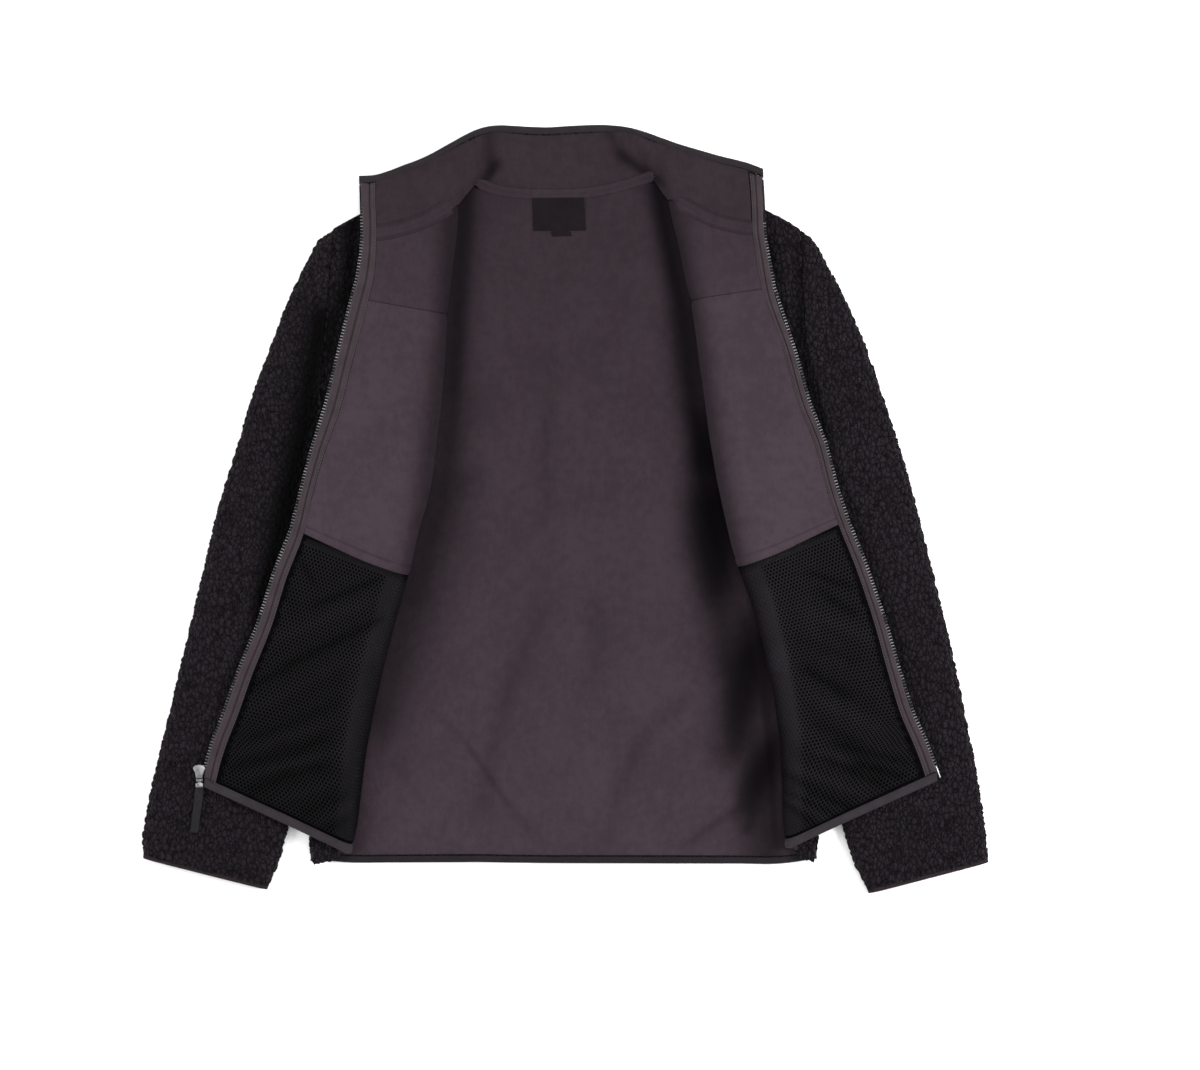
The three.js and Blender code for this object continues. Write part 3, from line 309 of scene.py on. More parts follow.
class NodeNet:
    """A frame node's triangles, walked as the four-cornered cells that they were drawn in.

    Each cell is two triangles that share the diagonal from its first corner to its last. A
    cell is written (here, below, across below, across).
    """

    def __init__(self, name: str, rim_angle: float = RIM_ANGLE) -> None:
        """Read one node and join its loose corners."""
        mesh = bpy.data.objects[name].data
        count = len(mesh.vertices)
        flat = np.zeros(count * 3, np.float64)
        mesh.vertices.foreach_get("co", flat)
        keys = np.round(flat.reshape(-1, 3) / WELD).astype(np.int64)
        _, first, index = np.unique(keys, axis=0, return_index=True, return_inverse=True)
        self.points = flat.reshape(-1, 3)[first]
        mesh.calc_loop_triangles()
        corners = np.zeros(len(mesh.loop_triangles) * 3, np.int32)
        mesh.loop_triangles.foreach_get("vertices", corners)
        self.faces = index.reshape(-1)[corners].reshape(-1, 3)
        a, b, c = (self.points[self.faces[:, k]] for k in range(3))
        self.normals = unit(np.cross(b - a, c - a))
        self.across: dict[tuple[int, int], list[int]] = {}
        for number, face in enumerate(self.faces):
            for k in range(3):
                edge = sorted_pair(int(face[k]), int(face[(k + 1) % 3]))
                self.across.setdefault(edge, []).append(number)
        self.limit = math.cos(math.radians(rim_angle))

    def open_edge(self, p: int, q: int) -> bool:
        """Say whether the cloth goes on over this edge without a sharp turn."""
        faces = self.across.get(sorted_pair(p, q), [])
        return len(faces) == 2 and float(self.normals[faces[0]] @ self.normals[faces[1]]) > self.limit

    def third(self, p: int, q: int, known: int) -> int:
        """Find the corner that faces an edge from the side away from a known corner."""
        for number in self.across.get(sorted_pair(p, q), []):
            rest = [int(v) for v in self.faces[number] if int(v) not in (p, q)]
            if rest and rest[0] != known:
                return rest[0]
        return -1

    def step(self, quad: Quad, way: str) -> Quad | None:
        """Walk from a cell to its neighbour.

        Args:
            quad: the cell to leave.
            way: right, left, down or up.

        Returns:
            The next cell, or None where the skin ends.
        """
        here, below, beyond, across = quad
        edges = {
            "right": (across, beyond, here), "left": (here, below, beyond),
            "down": (below, beyond, here), "up": (here, across, beyond),
        }
        p, q, known = edges[way]
        if not self.open_edge(p, q):
            return None
        x = self.third(p, q, known)
        if way == "right":
            return (across, beyond, x, self.third(across, x, beyond))
        if way == "left":
            return (x, self.third(x, below, here), below, here)
        if way == "down":
            return (below, self.third(below, x, beyond), x, beyond)
        return (x, here, across, self.third(x, across, here))

    def starts(self, faces: Iterable[int]) -> list[Quad]:
        """List cells to start walking from, squarest first.

        Args:
            faces: numbers of the triangles to look at.

        Returns:
            One guess at a cell for each triangle's squarest corner and the two others.
        """
        found: list[tuple[float, Quad]] = []
        for number in faces:
            corner = [int(v) for v in self.faces[number]]
            for k in range(3):
                v, p, q = corner[k], corner[(k + 1) % 3], corner[(k + 2) % 3]
                if not self.open_edge(p, q):
                    continue
                one = self.points[p] - self.points[v]
                two = self.points[q] - self.points[v]
                turn = abs(one @ two) / (np.linalg.norm(one) * np.linalg.norm(two) + TINY)
                found.append((turn, (p, v, q, self.third(p, q, v))))
        return [cell for _, cell in sorted(found)]

    def skins(self) -> list[list[int]]:
        """Split the node into the stretches of faces that no sharp edge crosses."""
        left = set(range(len(self.faces)))
        found = []
        while left:
            stack = [left.pop()]
            group = list(stack)
            while stack:
                face = self.faces[stack.pop()]
                for k in range(3):
                    p, q = int(face[k]), int(face[(k + 1) % 3])
                    if self.open_edge(p, q):
                        for other in self.across[sorted_pair(p, q)]:
                            if other in left:
                                left.remove(other)
                                stack.append(other)
                                group.append(other)
            found.append(group)
        return sorted(found, key=len, reverse=True)

    def rows_from(self, start: Quad) -> list[list[int]]:
        """Lay a skin's points out as rows and columns.

        Args:
            start: any cell of the skin.

        Returns:
            Point numbers by row and column; a ring starts at that cell.
        """
        corner = start
        for way in ("left", "up"):
            first = corner
            for _ in range(len(self.faces)):
                step = self.step(corner, way)
                if step is None or step == first or -1 in step:
                    break
                corner = step
        rows = []
        line: Quad | None = corner
        while line is not None:
            cells = [line]
            step = self.step(line, "right")
            while step is not None and step != line and -1 not in step and len(cells) < MOST_CELLS:
                cells.append(step)
                step = self.step(step, "right")
            ids = [cell[0] for cell in cells]
            below = [cell[1] for cell in cells]
            if step is None:
                ids.append(cells[-1][3])
                below.append(cells[-1][2])
            rows.append(ids)
            following = self.step(line, "down")
            if following is None or -1 in following:
                rows.append(below)
            line = None if following in (None, corner) or len(rows) > MOST_CELLS else following
        return rows

    def grid(self, faces: Sequence[int]) -> Array:
        """Read one skin as rows and columns of points.

        Args:
            faces: numbers of the skin's triangles.

        Returns:
            Points by row and column, where every cell of the skin is used once.
        """
        for start in self.starts(faces):
            rows = self.rows_from(start)
            if len({len(row) for row in rows}) != 1:
                continue
            cells = (len(rows) - 1, len(rows[0]) - 1)
            ringed = (len(rows), len(rows[0]))
            if len(faces) in (2 * cells[0] * cells[1], 2 * ringed[0] * ringed[1]):
                return self.points[np.array(rows)]
        raise ValueError("the node has no even rows and columns")


def knots_of(grid: Array) -> Array:
    """Measure the mean distance from the first row of a grid to each row."""
    steps = np.linalg.norm(np.diff(grid, axis=0), axis=2).mean(axis=1)
    return np.concatenate([[0.0], np.cumsum(steps)])


def along_rows(grid: Array, knots: Array, at: Array, ring: bool = False) -> Array:
    """Draw smooth curves down a grid's columns and read them.

    Args:
        grid: points by row and column.
        knots: the distance of each row from the first.
        at: the distances to read at.
        ring: the last row is the first one again.

    Returns:
        Points by place and column.
    """
    if ring:
        grid = np.concatenate([grid[-2:-1], grid, grid[1:2]])
        ends = (knots[0] - (knots[-1] - knots[-2]), knots[-1] + knots[1] - knots[0])
        knots = np.concatenate([[ends[0]], knots, [ends[1]]])
    widths = np.diff(knots)[:, None, None]
    slopes = np.diff(grid, axis=0) / widths
    tangents = np.empty_like(grid)
    before, after = widths[:-1], widths[1:]
    tangents[1:-1] = (slopes[:-1] * after + slopes[1:] * before) / (before + after)
    tangents[0], tangents[-1] = slopes[0], slopes[-1]
    place = np.clip(np.searchsorted(knots, at, side="right") - 1, 0, len(knots) - 2)
    width = (knots[place + 1] - knots[place])[:, None, None]
    t = (at - knots[place])[:, None, None] / width
    low, high = grid[place], grid[place + 1]
    rise, fall = tangents[place] * width, tangents[place + 1] * width
    square, cube = t * t, t * t * t
    return (
        low * (2 * cube - 3 * square + 1) + rise * (cube - 2 * square + t)
        + high * (3 * square - 2 * cube) + fall * (cube - square)
    )


def spaced(knots: Array, steps: float | Sequence[float]) -> Array:
    """Divide each stretch between knots evenly.

    Args:
        knots: rising distances, all of which are kept.
        steps: the longest step allowed, for all stretches or for each.

    Returns:
        The rising distances.
    """
    sizes = [steps] * (len(knots) - 1) if isinstance(steps, float) else list(steps)
    found = [knots[:1]]
    for low, high, size in zip(knots[:-1], knots[1:], sizes):
        found.append(np.linspace(low, high, max(1, math.ceil((high - low) / size)) + 1)[1:])
    return np.concatenate(found)


class Patch:
    """A smooth surface through a grid of points."""

    def __init__(self, grid: Array, ring: bool = False) -> None:
        """Keep the grid; ring says that its columns run round a tube."""
        self.ring = ring
        self.grid = np.concatenate([grid, grid[:, :1]], axis=1) if ring else grid
        self.row_knots = knots_of(self.grid)
        self.col_knots = knots_of(self.grid.transpose(1, 0, 2))

    def points(self, rows: Array, cols: Array) -> Array:
        """Read the surface at every pair of distances down and across."""
        lines = along_rows(self.grid, self.row_knots, rows)
        return along_rows(lines.transpose(1, 0, 2), self.col_knots, cols, self.ring).transpose(1, 0, 2)

    def even(self, row_step: float, col_step: float) -> Array:
        """Read the surface evenly, with no longer steps down and across than these."""
        return self.points(spaced(self.row_knots, row_step), spaced(self.col_knots, col_step))


def normals_of(grid: Array) -> Array:
    """Find the unit normal at each point of a grid, across its rows and columns."""
    down = np.gradient(grid, axis=0)
    over = np.gradient(grid, axis=1)
    return unit(np.cross(down, over))


def oriented(grid: Array, down: Sequence[float], across: Sequence[float]) -> Array:
    """Turn or mirror a grid so that its rows and columns run the way that is asked.

    Args:
        grid: points by row and column.
        down: the way that the rows follow each other.
        across: the way that the columns do.

    Returns:
        The same points in the wanted order.
    """
    best, chosen = -1e9, grid
    for flip in range(8):
        trial = grid.transpose(1, 0, 2) if flip & 4 else grid
        trial = trial[::-1] if flip & 2 else trial
        trial = trial[:, ::-1] if flip & 1 else trial
        drop = (trial[-1] - trial[0]).mean(axis=0) @ np.array(down, float)
        run = (trial[:, -1] - trial[:, 0]).mean(axis=0) @ np.array(across, float)
        if drop + run > best:
            best, chosen = drop + run, trial
    return np.ascontiguousarray(chosen)


class ClothNode:
    """A flat or folded piece's two skins: the one that faces the lining side, and its back."""

    def __init__(self, name: str, down: Sequence[float], across: Sequence[float]) -> None:
        """Read a node's two widest skins."""
        net = NodeNet(name)
        grids = [oriented(net.grid(faces), down, across) for faces in net.skins()[:2]]
        grids.sort(key=lambda grid: -float(grid[:, -1, 2].mean()))
        self.face = Patch(grids[0])
        self.back = Patch(grids[1])

    def outward(self, points: Array) -> Array:
        """Find the way that the cloth's face looks at each point of a grid over it."""
        normals = normals_of(points)
        out = self.face.grid[0, 0] - self.back.grid[0, 0]
        return normals if float(normals[0, 0] @ out) > 0 else -normals


def smooth(t: Any) -> Any:
    """Ease from 0 to 1."""
    t = np.clip(t, 0.0, 1.0)
    return t * t * (3 - 2 * t)


def arc_shares(line: Array) -> Array:
    """Measure how far along a line each of its points is, from 0 to 1."""
    lengths = lengths_to(line)
    return lengths / max(lengths[-1], TINY)


CORNER_POINTS = 4      # points over which a rounded edge dies away at a corner
LAST_GAP = 0.6         # its last row's distance from the far skin, in rows


class Wall:
    """A closed mesh gathered from skins and the strips that join their edges."""

    def __init__(self) -> None:
        """Start with nothing."""
        self.points: list[Array] = []
        self.faces: list[tuple[int, ...]] = []
        self.count = 0
        self.weights: list[Array] = []
        self.shades: list[Array] = []
        self.maps: list[Array] = []

    def skin(
        self, grid: Array, ring: bool = False, weight: Array | float = 1.0, shade: Array | float = 0.0
    ) -> Array:
        """Add a grid of points with its cells.

        Args:
            grid: points by row and column.
            ring: the last column meets the first.
            weight: how much of the finish's relief each point takes.
            shade: painted shade there, from 0 to 1: how far the colour is darkened where shadow falls.

        Returns:
            The points' numbers by row and column.
        """
        rows, cols = grid.shape[:2]
        ids = self.count + np.arange(rows * cols).reshape(rows, cols)
        self.count += rows * cols
        self.points.append(grid.reshape(-1, 3))
        self.weights.append(np.broadcast_to(np.asarray(weight, float), (rows, cols)).reshape(-1))
        self.shades.append(np.broadcast_to(np.asarray(shade, float), (rows, cols)).reshape(-1))
        down, over = lengths_to(grid[:, cols // 2]), lengths_to(grid[rows // 2])
        self.maps.append(np.stack(np.meshgrid(over, down), axis=2).reshape(-1, 2))
        wide = np.concatenate([ids, ids[:, :1]], axis=1) if ring else ids
        cells = np.stack([wide[:-1, :-1], wide[1:, :-1], wide[1:, 1:], wide[:-1, 1:]], axis=2)
        self.faces.extend(map(tuple, cells.reshape(-1, 4).tolist()))
        return ids

    def strip(self, first: Array, second: Array) -> None:
        """Join two lines of points that run side by side, whatever their counts.

        Args:
            first: numbers of one line's points.
            second: numbers of the other's, from the same end.
        """
        places = np.concatenate(self.points)
        ahead = [arc_shares(places[first]), arc_shares(places[second])]
        i, j = 0, 0
        while i < len(first) - 1 or j < len(second) - 1:
            step_first = j == len(second) - 1 or (
                i < len(first) - 1 and ahead[0][i + 1] <= ahead[1][j + 1] + 1e-9
            )
            following = first[i + 1] if step_first else second[j + 1]
            self.faces.append((int(first[i]), int(second[j]), int(following)))
            i, j = (i + 1, j) if step_first else (i, j + 1)

    def rolled(self, first: Array, second: Array, bulge: float, parts: int) -> Array:
        """Round an edge off with rows of points between two lines.

        Args:
            first: numbers of the fine skin's edge.
            second: numbers of the other skin's edge, from the same end.
            bulge: how far the middle of the edge stands out.
            parts: how many rows to add.

        Returns:
            The numbers of the last row.
        """
        places = np.concatenate(self.points)
        near, far = places[first], places[second]
        shares = arc_shares(near)
        other = np.stack([np.interp(shares, arc_shares(far), far[:, k]) for k in range(3)], axis=1)
        out = unit(np.cross(np.gradient(near, axis=0), other - near))
        ends = smooth(np.minimum(shares, 1 - shares) * len(first) / CORNER_POINTS)[:, None]
        rows = [near]
        for part in range(1, parts + 1):
            t = part / (parts + LAST_GAP)
            rows.append(near + (other - near) * t + out * ends * bulge * math.sin(math.pi * t))
        return self.skin(np.array(rows))[-1]

    def close_sides(self, upper: Array, lower: Array, bulge: float, parts: int) -> None:
        """Join the four edges of two skins whose first corners lie together.

        Args:
            upper: point numbers of one skin by row and column.
            lower: those of the other.
            bulge: how far a thick edge is rounded out.
            parts: rows of points added round each edge.
        """
        middle = np.concatenate(self.points)[upper[upper.shape[0] // 2, upper.shape[1] // 2]]
        sides = [
            (upper[0], lower[0]), (upper[:, -1], lower[:, -1]),
            (upper[-1, ::-1], lower[-1, ::-1]), (upper[::-1, 0], lower[::-1, 0]),
        ]
        for first, second in sides:
            line = first
            if parts:
                places = np.concatenate(self.points)
                near, far = places[first], places[second]
                half = len(first) // 2
                along = near[min(half + 1, len(near) - 1)] - near[half - 1]
                out = np.cross(along, far[len(far) // 2] - near[half])
                sign = 1.0 if float(out @ (near[half] - middle)) > 0 else -1.0
                line = self.rolled(first, second, bulge * sign, parts)
            self.strip(line, second)

    def cap(self, loop: Array) -> None:
        """Close a ring of points with one face."""
        self.faces.append(tuple(int(v) for v in loop))

    def build(self, name: str) -> bpy.types.Object:
        """Make the object, with its faces pointing out, its weights and its own map.

        Args:
            name: the piece's name.

        Returns:
            The object, linked to the scene.
        """
        mesh = bpy.data.meshes.new(name)
        mesh.from_pydata(np.concatenate(self.points).tolist(), [], self.faces)
        set_values(mesh, pile=np.concatenate(self.weights), shade=np.concatenate(self.shades))
        layer = mesh.uv_layers.new(name="cloth")
        corner = np.zeros(len(mesh.loops), np.int32)
        mesh.loops.foreach_get("vertex_index", corner)
        layer.data.foreach_set("uv", np.concatenate(self.maps)[corner].reshape(-1))
        return finished_object(mesh, name)


def two_skins(
    name: str, fine: Array, plain: Array, bulge: float = 0.0, parts: int = 0, **values: Any
) -> bpy.types.Object:
    """Make a closed cloth from two grids whose first corners lie together.

    Args:
        name: the piece's name.
        fine: the side that shows.
        plain: the other side.
        bulge: how far a thick edge is rounded out.
        parts: rows of points added round each edge.
        values: the fine side's weight and shade.

    Returns:
        The object.
    """
    wall = Wall()
    upper = wall.skin(fine, **values)
    lower = wall.skin(plain, weight=0.0)
    wall.close_sides(upper, lower, bulge, parts)
    return wall.build(name)


def set_values(mesh: bpy.types.Mesh, **values: Array) -> None:
    """Store a number for each point of a mesh under each name."""
    for title, numbers in values.items():
        attribute = mesh.attributes.new(title, "FLOAT", "POINT")
        attribute.data.foreach_set("value", numbers)


def finished_object(mesh: bpy.types.Mesh, name: str) -> bpy.types.Object:
    """Turn a mesh's faces outwards, shade it smooth and put it in the scene."""
    form = bmesh.new()
    form.from_mesh(mesh)
    bmesh.ops.remove_doubles(form, verts=form.verts, dist=WELD)
    bmesh.ops.recalc_face_normals(form, faces=form.faces)
    form.to_mesh(mesh)
    form.free()
    mesh.polygons.foreach_set("use_smooth", [True] * len(mesh.polygons))
    mesh.update()
    return placed_object(name, mesh)
# ---------------------------------------------------------------------------
# Finishes
# ---------------------------------------------------------------------------


def new_material(name: str) -> tuple[bpy.types.Material, Graph, Any]:
    """Start a material.

    Args:
        name: the material's name.

    Returns:
        The material, its graph and its main shader.
    """
    material = bpy.data.materials.new(name)
    material.use_nodes = True
    material.node_tree.nodes.clear()
    graph = Graph(material.node_tree)
    shader = graph.add("ShaderNodeBsdfPrincipled")
    graph.add("ShaderNodeOutputMaterial", Surface=shader.outputs[0])
    return material, graph, shader


def place_of(graph: Graph, stretch: Sequence[float] = (1, 1, 1)) -> Any:
    """Read the place on the jacket, stretched along each axis."""
    where = graph.add("ShaderNodeTexCoord").outputs["Object"]
    return graph.vector("MULTIPLY", where, tuple(stretch))


def noise_at(graph: Graph, place: Any, size: float, detail: float = 2.0, rough: float = 0.5) -> Any:
    """Add soft noise whose lumps are about that many metres across."""
    made = graph.add(
        "ShaderNodeTexNoise", Vector=place, Scale=1 / size, Detail=detail, Roughness=rough
    )
    return made.outputs["Fac"]


def bump_of(graph: Graph, height: Any, distance: float) -> Any:
    """Turn a height into a shading normal; distance is its size in metres."""
    return graph.add("ShaderNodeBump", Strength=1.0, Distance=distance, Height=height).outputs["Normal"]


def dimmed(colour: Colour, share: float) -> Colour:
    """Keep a share of a colour's light."""
    return (colour[0] * share, colour[1] * share, colour[2] * share)


@dataclass(frozen=True)
class SherpaFinish:
    """Curly pile: small plump curls, longer than wide, parted by fine winding cracks.

    The curls are cells of a jittered net, bent by noise, and some of their cracks close up. The
    colour carries painted shade in the cracks and low places and painted light on the curls'
    tops, and the mesh's shade attribute paints more shade.
    """

    name: str = "sherpa_pile"
    top: Colour = hex_colour("201b20")
    # painted shade: the near-black colour that the cracks and low places take, for their shadow
    crack: Colour = hex_colour("030203")
    stretch: tuple[float, float, float] = (1.0, 0.62, 1.0)
    cell: float = 4.0 * MM
    drift: float = 6.0 * MM
    wander: float = 3.6 * MM
    curl: float = 1.2 * MM
    closed: float = 8.0 * MM
    broad: float = 45.0 * MM
    relief: float = 2.0 * MM
    sheen: float = 0.12

    def material(self) -> bpy.types.Material:
        """Make the material; it reads the pile's height and its painted shade from the mesh."""
        material, graph, shader = new_material(self.name)
        place = place_of(graph)
        height, shade = graph.attribute("height"), graph.attribute("shade")
        bent = graph.bent(place, self.drift, self.wander, Detail=2.0)
        grain = graph.vector("MULTIPLY", bent, self.stretch)
        edge = graph.cells("DISTANCE_TO_EDGE", grain, 1 / self.cell)
        middle = graph.cells("F1", grain, 1 / self.cell)
        closed = graph.ramp(noise_at(graph, place, self.closed, 1.0), 0.5, 0.68, 0.0, 0.55)
        crack = graph.math("MAXIMUM", graph.ramp(edge, 0.01, 0.2), closed)
        fine = noise_at(graph, place, self.curl, 3.0, 0.6)
        dome = graph.ramp(middle, 0.75, 0.05)
        lift = graph.total((height, 0.35), (fine, 0.65))
        # painted light and shade: lighter towards the curls' high middles, darker into the cracks
        lit = graph.times(crack, graph.ramp(lift, 0.25, 0.7, 0.5, 1.0))
        lit = graph.times(lit, graph.ramp(dome, 0.0, 0.6, 0.62, 1.0))
        worn = graph.ramp(noise_at(graph, place, self.broad), 0.3, 0.7)
        pile = graph.mix(lit, self.crack, graph.mix(worn, self.top, dimmed(self.top, 0.84)))
        relief = graph.total((crack, 0.5), (dome, 0.5), (fine, 0.3))
        # painted shade: the mesh's shade attribute darkens the pile and takes its sheen away
        graph.set(
            shader,
            Base_Color=graph.mix(shade, pile, dimmed(self.crack, 0.5)),
            Normal=bump_of(graph, relief, self.relief),
            Roughness=0.95,
            Sheen_Weight=graph.times(graph.math("SUBTRACT", 1.0, shade), self.sheen),
            Sheen_Roughness=0.5,
            Sheen_Tint=(0.42, 0.38, 0.42),
            Specular_IOR_Level=0.06,
        )
        return material


@dataclass(frozen=True)
class FleeceFinish:
    """Brushed fleece: a soft mottled nap with a little sheen."""

    name: str = "fleece_lining"
    colour: Colour = hex_colour("393036")
    shade: Colour = hex_colour("332a30")
    # painted shade: the near-black colour mixed in where shadow falls
    hollow_shade: Colour = hex_colour("030203")
    broad: float = 70.0 * MM
    mottle: float = 9.0 * MM
    streak: float = 3.5 * MM
    nap: float = 1.6 * MM
    relief: float = 0.7 * MM
    sheen: float = 0.06

    def material(self) -> bpy.types.Material:
        """Make the material; it darkens the cloth by the painted shade that it reads from the mesh."""
        material, graph, shader = new_material(self.name)
        place = place_of(graph)
        broad = noise_at(graph, place, self.broad, 3.0, 0.55)
        mottle = noise_at(graph, place, self.mottle, 3.0, 0.6)
        fine = noise_at(graph, place, self.nap, 3.0, 0.65)
        brushed = noise_at(graph, place_of(graph, (1.0, 0.28, 1.0)), self.streak, 2.0, 0.6)
        share = graph.total(
            (broad, 0.5), (mottle, 0.5), (graph.math("SUBTRACT", brushed, 0.5), 0.25),
            (graph.math("SUBTRACT", fine, 0.5), 0.3),
        )
        cloth = graph.mix(graph.ramp(share, 0.36, 0.64), self.shade, self.colour)
        # painted shade: the mesh's shade attribute darkens the cloth and takes its sheen away
        shade = graph.attribute("shade")
        graph.set(
            shader,
            Base_Color=graph.mix(shade, cloth, self.hollow_shade),
            Normal=bump_of(graph, graph.total((fine, 0.7), (mottle, 1.0)), self.relief),
            Roughness=0.95,
            Sheen_Weight=graph.times(graph.math("SUBTRACT", 1.0, shade), self.sheen),
            Sheen_Roughness=0.4,
            Sheen_Tint=(0.6, 0.52, 0.57),
            Specular_IOR_Level=0.05,
        )
        return material


@dataclass(frozen=True)
class TapeFinish:
    """Knitted or woven tape: fine ribs across it, read from the piece's own map."""

    name: str
    colour: Colour
    rib: float = 0.9 * MM
    worn: float = 14.0 * MM
    yarn: float = 0.9 * MM
    relief: float = 0.14 * MM
    roughness: float = 0.8
    sheen: float = 0.1
    gloss: float = 0.1
    matted: bool = False

    def material(self) -> bpy.types.Material:
        """Make the material; one that takes painted shade darkens by the mesh's shade attribute."""
        material, graph, shader = new_material(self.name)
        place = place_of(graph)
        flat = graph.add("ShaderNodeUVMap", {"uv_map": "cloth"}).outputs[0]
        along = graph.add("ShaderNodeSeparateXYZ", Vector=flat).outputs["Y"]
        wave = graph.math("SINE", graph.times(along, 2 * math.pi / self.rib))
        fine = noise_at(graph, place, self.yarn, 2.0, 0.6)
        tone = graph.total((noise_at(graph, place, self.worn, 3.0, 0.6), 1.0), (fine, 1.0), (wave, 0.12))
        colour = graph.mix(graph.ramp(tone, 0.75, 1.3), dimmed(self.colour, 0.72), self.colour)
        # painted shade: darker by the mesh's shade attribute
        if self.matted:
            colour = graph.mix(graph.attribute("shade"), colour, dimmed(self.colour, 0.15))
        graph.set(
            shader,
            Base_Color=colour,
            Normal=bump_of(graph, graph.total((wave, 0.5), (fine, 1.0)), self.relief),
            Roughness=self.roughness,
            Sheen_Weight=self.sheen,
            Sheen_Tint=(0.6, 0.56, 0.6),
            Specular_IOR_Level=self.gloss,
        )
        return material


@dataclass(frozen=True)
class SmoothFinish:
    """A hard or slick finish: metal, thread, plastic or net yarn, with fine wear."""

    name: str
    colour: Colour
    roughness: float
    metal: float = 0.0
    grain: float = 0.8 * MM
    relief: float = 0.03 * MM
    sheen: float = 0.0
    vary: float = 0.25
    gloss: float = 0.5
    matted: bool = False

    def material(self) -> bpy.types.Material:
        """Make the material; one that takes painted shade darkens by the mesh's shade attribute."""
        material, graph, shader = new_material(self.name)
        place = place_of(graph)
        fine = noise_at(graph, place, self.grain, 4.0, 0.6)
        broad = noise_at(graph, place, self.grain * 7, 2.0, 0.5)
        tone = graph.ramp(graph.total((fine, 0.4), (broad, 0.6)), 0.38, 0.62)
        colour = graph.mix(tone, dimmed(self.colour, 1 - self.vary), self.colour)
        # painted shade: darker by the mesh's shade attribute
        if self.matted:
            colour = graph.mix(graph.attribute("shade"), colour, dimmed(self.colour, 0.1))
        low, high = self.roughness * 0.85, min(1.0, self.roughness * 1.2)
        graph.set(
            shader,
            Base_Color=colour,
            Roughness=graph.ramp(broad, 0.35, 0.65, low, high),
            Metallic=self.metal,
            Normal=bump_of(graph, fine, self.relief),
            Sheen_Weight=self.sheen,
            Specular_IOR_Level=self.gloss,
        )
        return material


@dataclass(frozen=True)
class FloorFinish:
    """The pale paper that the jacket lies on."""

    name: str = "paper"
    colour: Colour = (0.97, 0.97, 0.97)

    def material(self) -> bpy.types.Material:
        """Make the material."""
        material, graph, shader = new_material(self.name)
        tone = noise_at(graph, place_of(graph), 400 * MM, 2.0)
        colour = graph.mix(tone, dimmed(self.colour, 0.99), self.colour)
        graph.set(shader, Base_Color=colour, Roughness=1.0, Specular_IOR_Level=0.0)
        return material


class Wardrobe:
    """Every finish of the jacket, made once."""

    def __init__(self) -> None:
        """Make the materials."""
        self.sherpa = SherpaFinish().material()
        self.lining = FleeceFinish().material()
        # painted shade: a darker copy of the fleece lining for the collar, which lies in more shade
        self.collar_lining = FleeceFinish(
            "fleece_collar_painted_shade", hex_colour("292226"), hex_colour("241d21")
        ).material()
        self.facing = self.tape_of("facing_knit", "352d31", rib=1.1 * MM, sheen=0.05, matted=True)
        self.binding = self.tape_of("hem_binding", "2b272b", sheen=0.05)
        self.dark_binding = self.tape_of("back_binding", "231f22", sheen=0.05)
        # painted shade: a darker copy of the hem binding, for the back hem
        self.shaded_hem_binding = self.tape_of("shaded_hem_binding", "1d191d", sheen=0.03)
        self.cuff = self.tape_of("cuff_binding", "241c20", sheen=0.03)
        self.tape = self.tape_of("zip_tape", "0f0e0f", rib=0.7 * MM)
        self.label = self.tape_of(
            "woven_label", "171316", rib=0.45 * MM, relief=0.06 * MM, sheen=0.0, gloss=0.03
        )
        net, bag, tab = hex_colour("1a171b"), hex_colour("050406"), hex_colour("151416")
        thread, nickel, teeth = hex_colour("433a40"), (0.25, 0.245, 0.25), (0.21, 0.205, 0.21)
        self.net = SmoothFinish("pocket_net", net, 0.6, grain=0.6 * MM, gloss=0.05, matted=True).material()
        self.bag = SmoothFinish("pocket_bag", bag, 0.9, grain=1.2 * MM, gloss=0.03, matted=True).material()
        self.thread = SmoothFinish("thread", thread, 0.7, grain=0.4 * MM, sheen=0.1).material()
        self.metal = SmoothFinish("nickel", nickel, 0.34, metal=1.0, grain=0.5 * MM).material()
        self.teeth = SmoothFinish("zip_teeth", teeth, 0.42, metal=1.0, grain=3.0 * MM, vary=0.9).material()
        self.tab = SmoothFinish("soft_tab", tab, 0.7, gloss=0.15, relief=0.05 * MM).material()

    @staticmethod
    def tape_of(name: str, code: str, **values: Any) -> bpy.types.Material:
        """Make one tape's material from its written colour."""
        return TapeFinish(name, hex_colour(code), **values).material()
# ---------------------------------------------------------------------------
# Geometry Nodes trees
# ---------------------------------------------------------------------------


def seeded_place(graph: Graph, start: Any, beside: float, above: float) -> Any:
    """Read each point's place, moved by the tree's seed to another part of its noise."""
    place = graph.add("GeometryNodeInputPosition").outputs[0]
    shift = graph.add("ShaderNodeCombineXYZ", X=start["Seed"], Y=beside, Z=above).outputs[0]
    return graph.vector("ADD", place, shift)


def pushed_out(graph: Graph, geometry: Any, depth: Any) -> Any:
    """Move each point out by a depth, times its own pile weight."""
    weight = graph.add("GeometryNodeInputNamedAttribute", {"data_type": "FLOAT"}, Name="pile")
    normal = graph.add("GeometryNodeInputNormal").outputs[0]
    offset = graph.scaled(normal, graph.times(depth, weight.outputs[0]))
    return graph.add("GeometryNodeSetPosition", Geometry=geometry, Offset=offset).outputs[0]


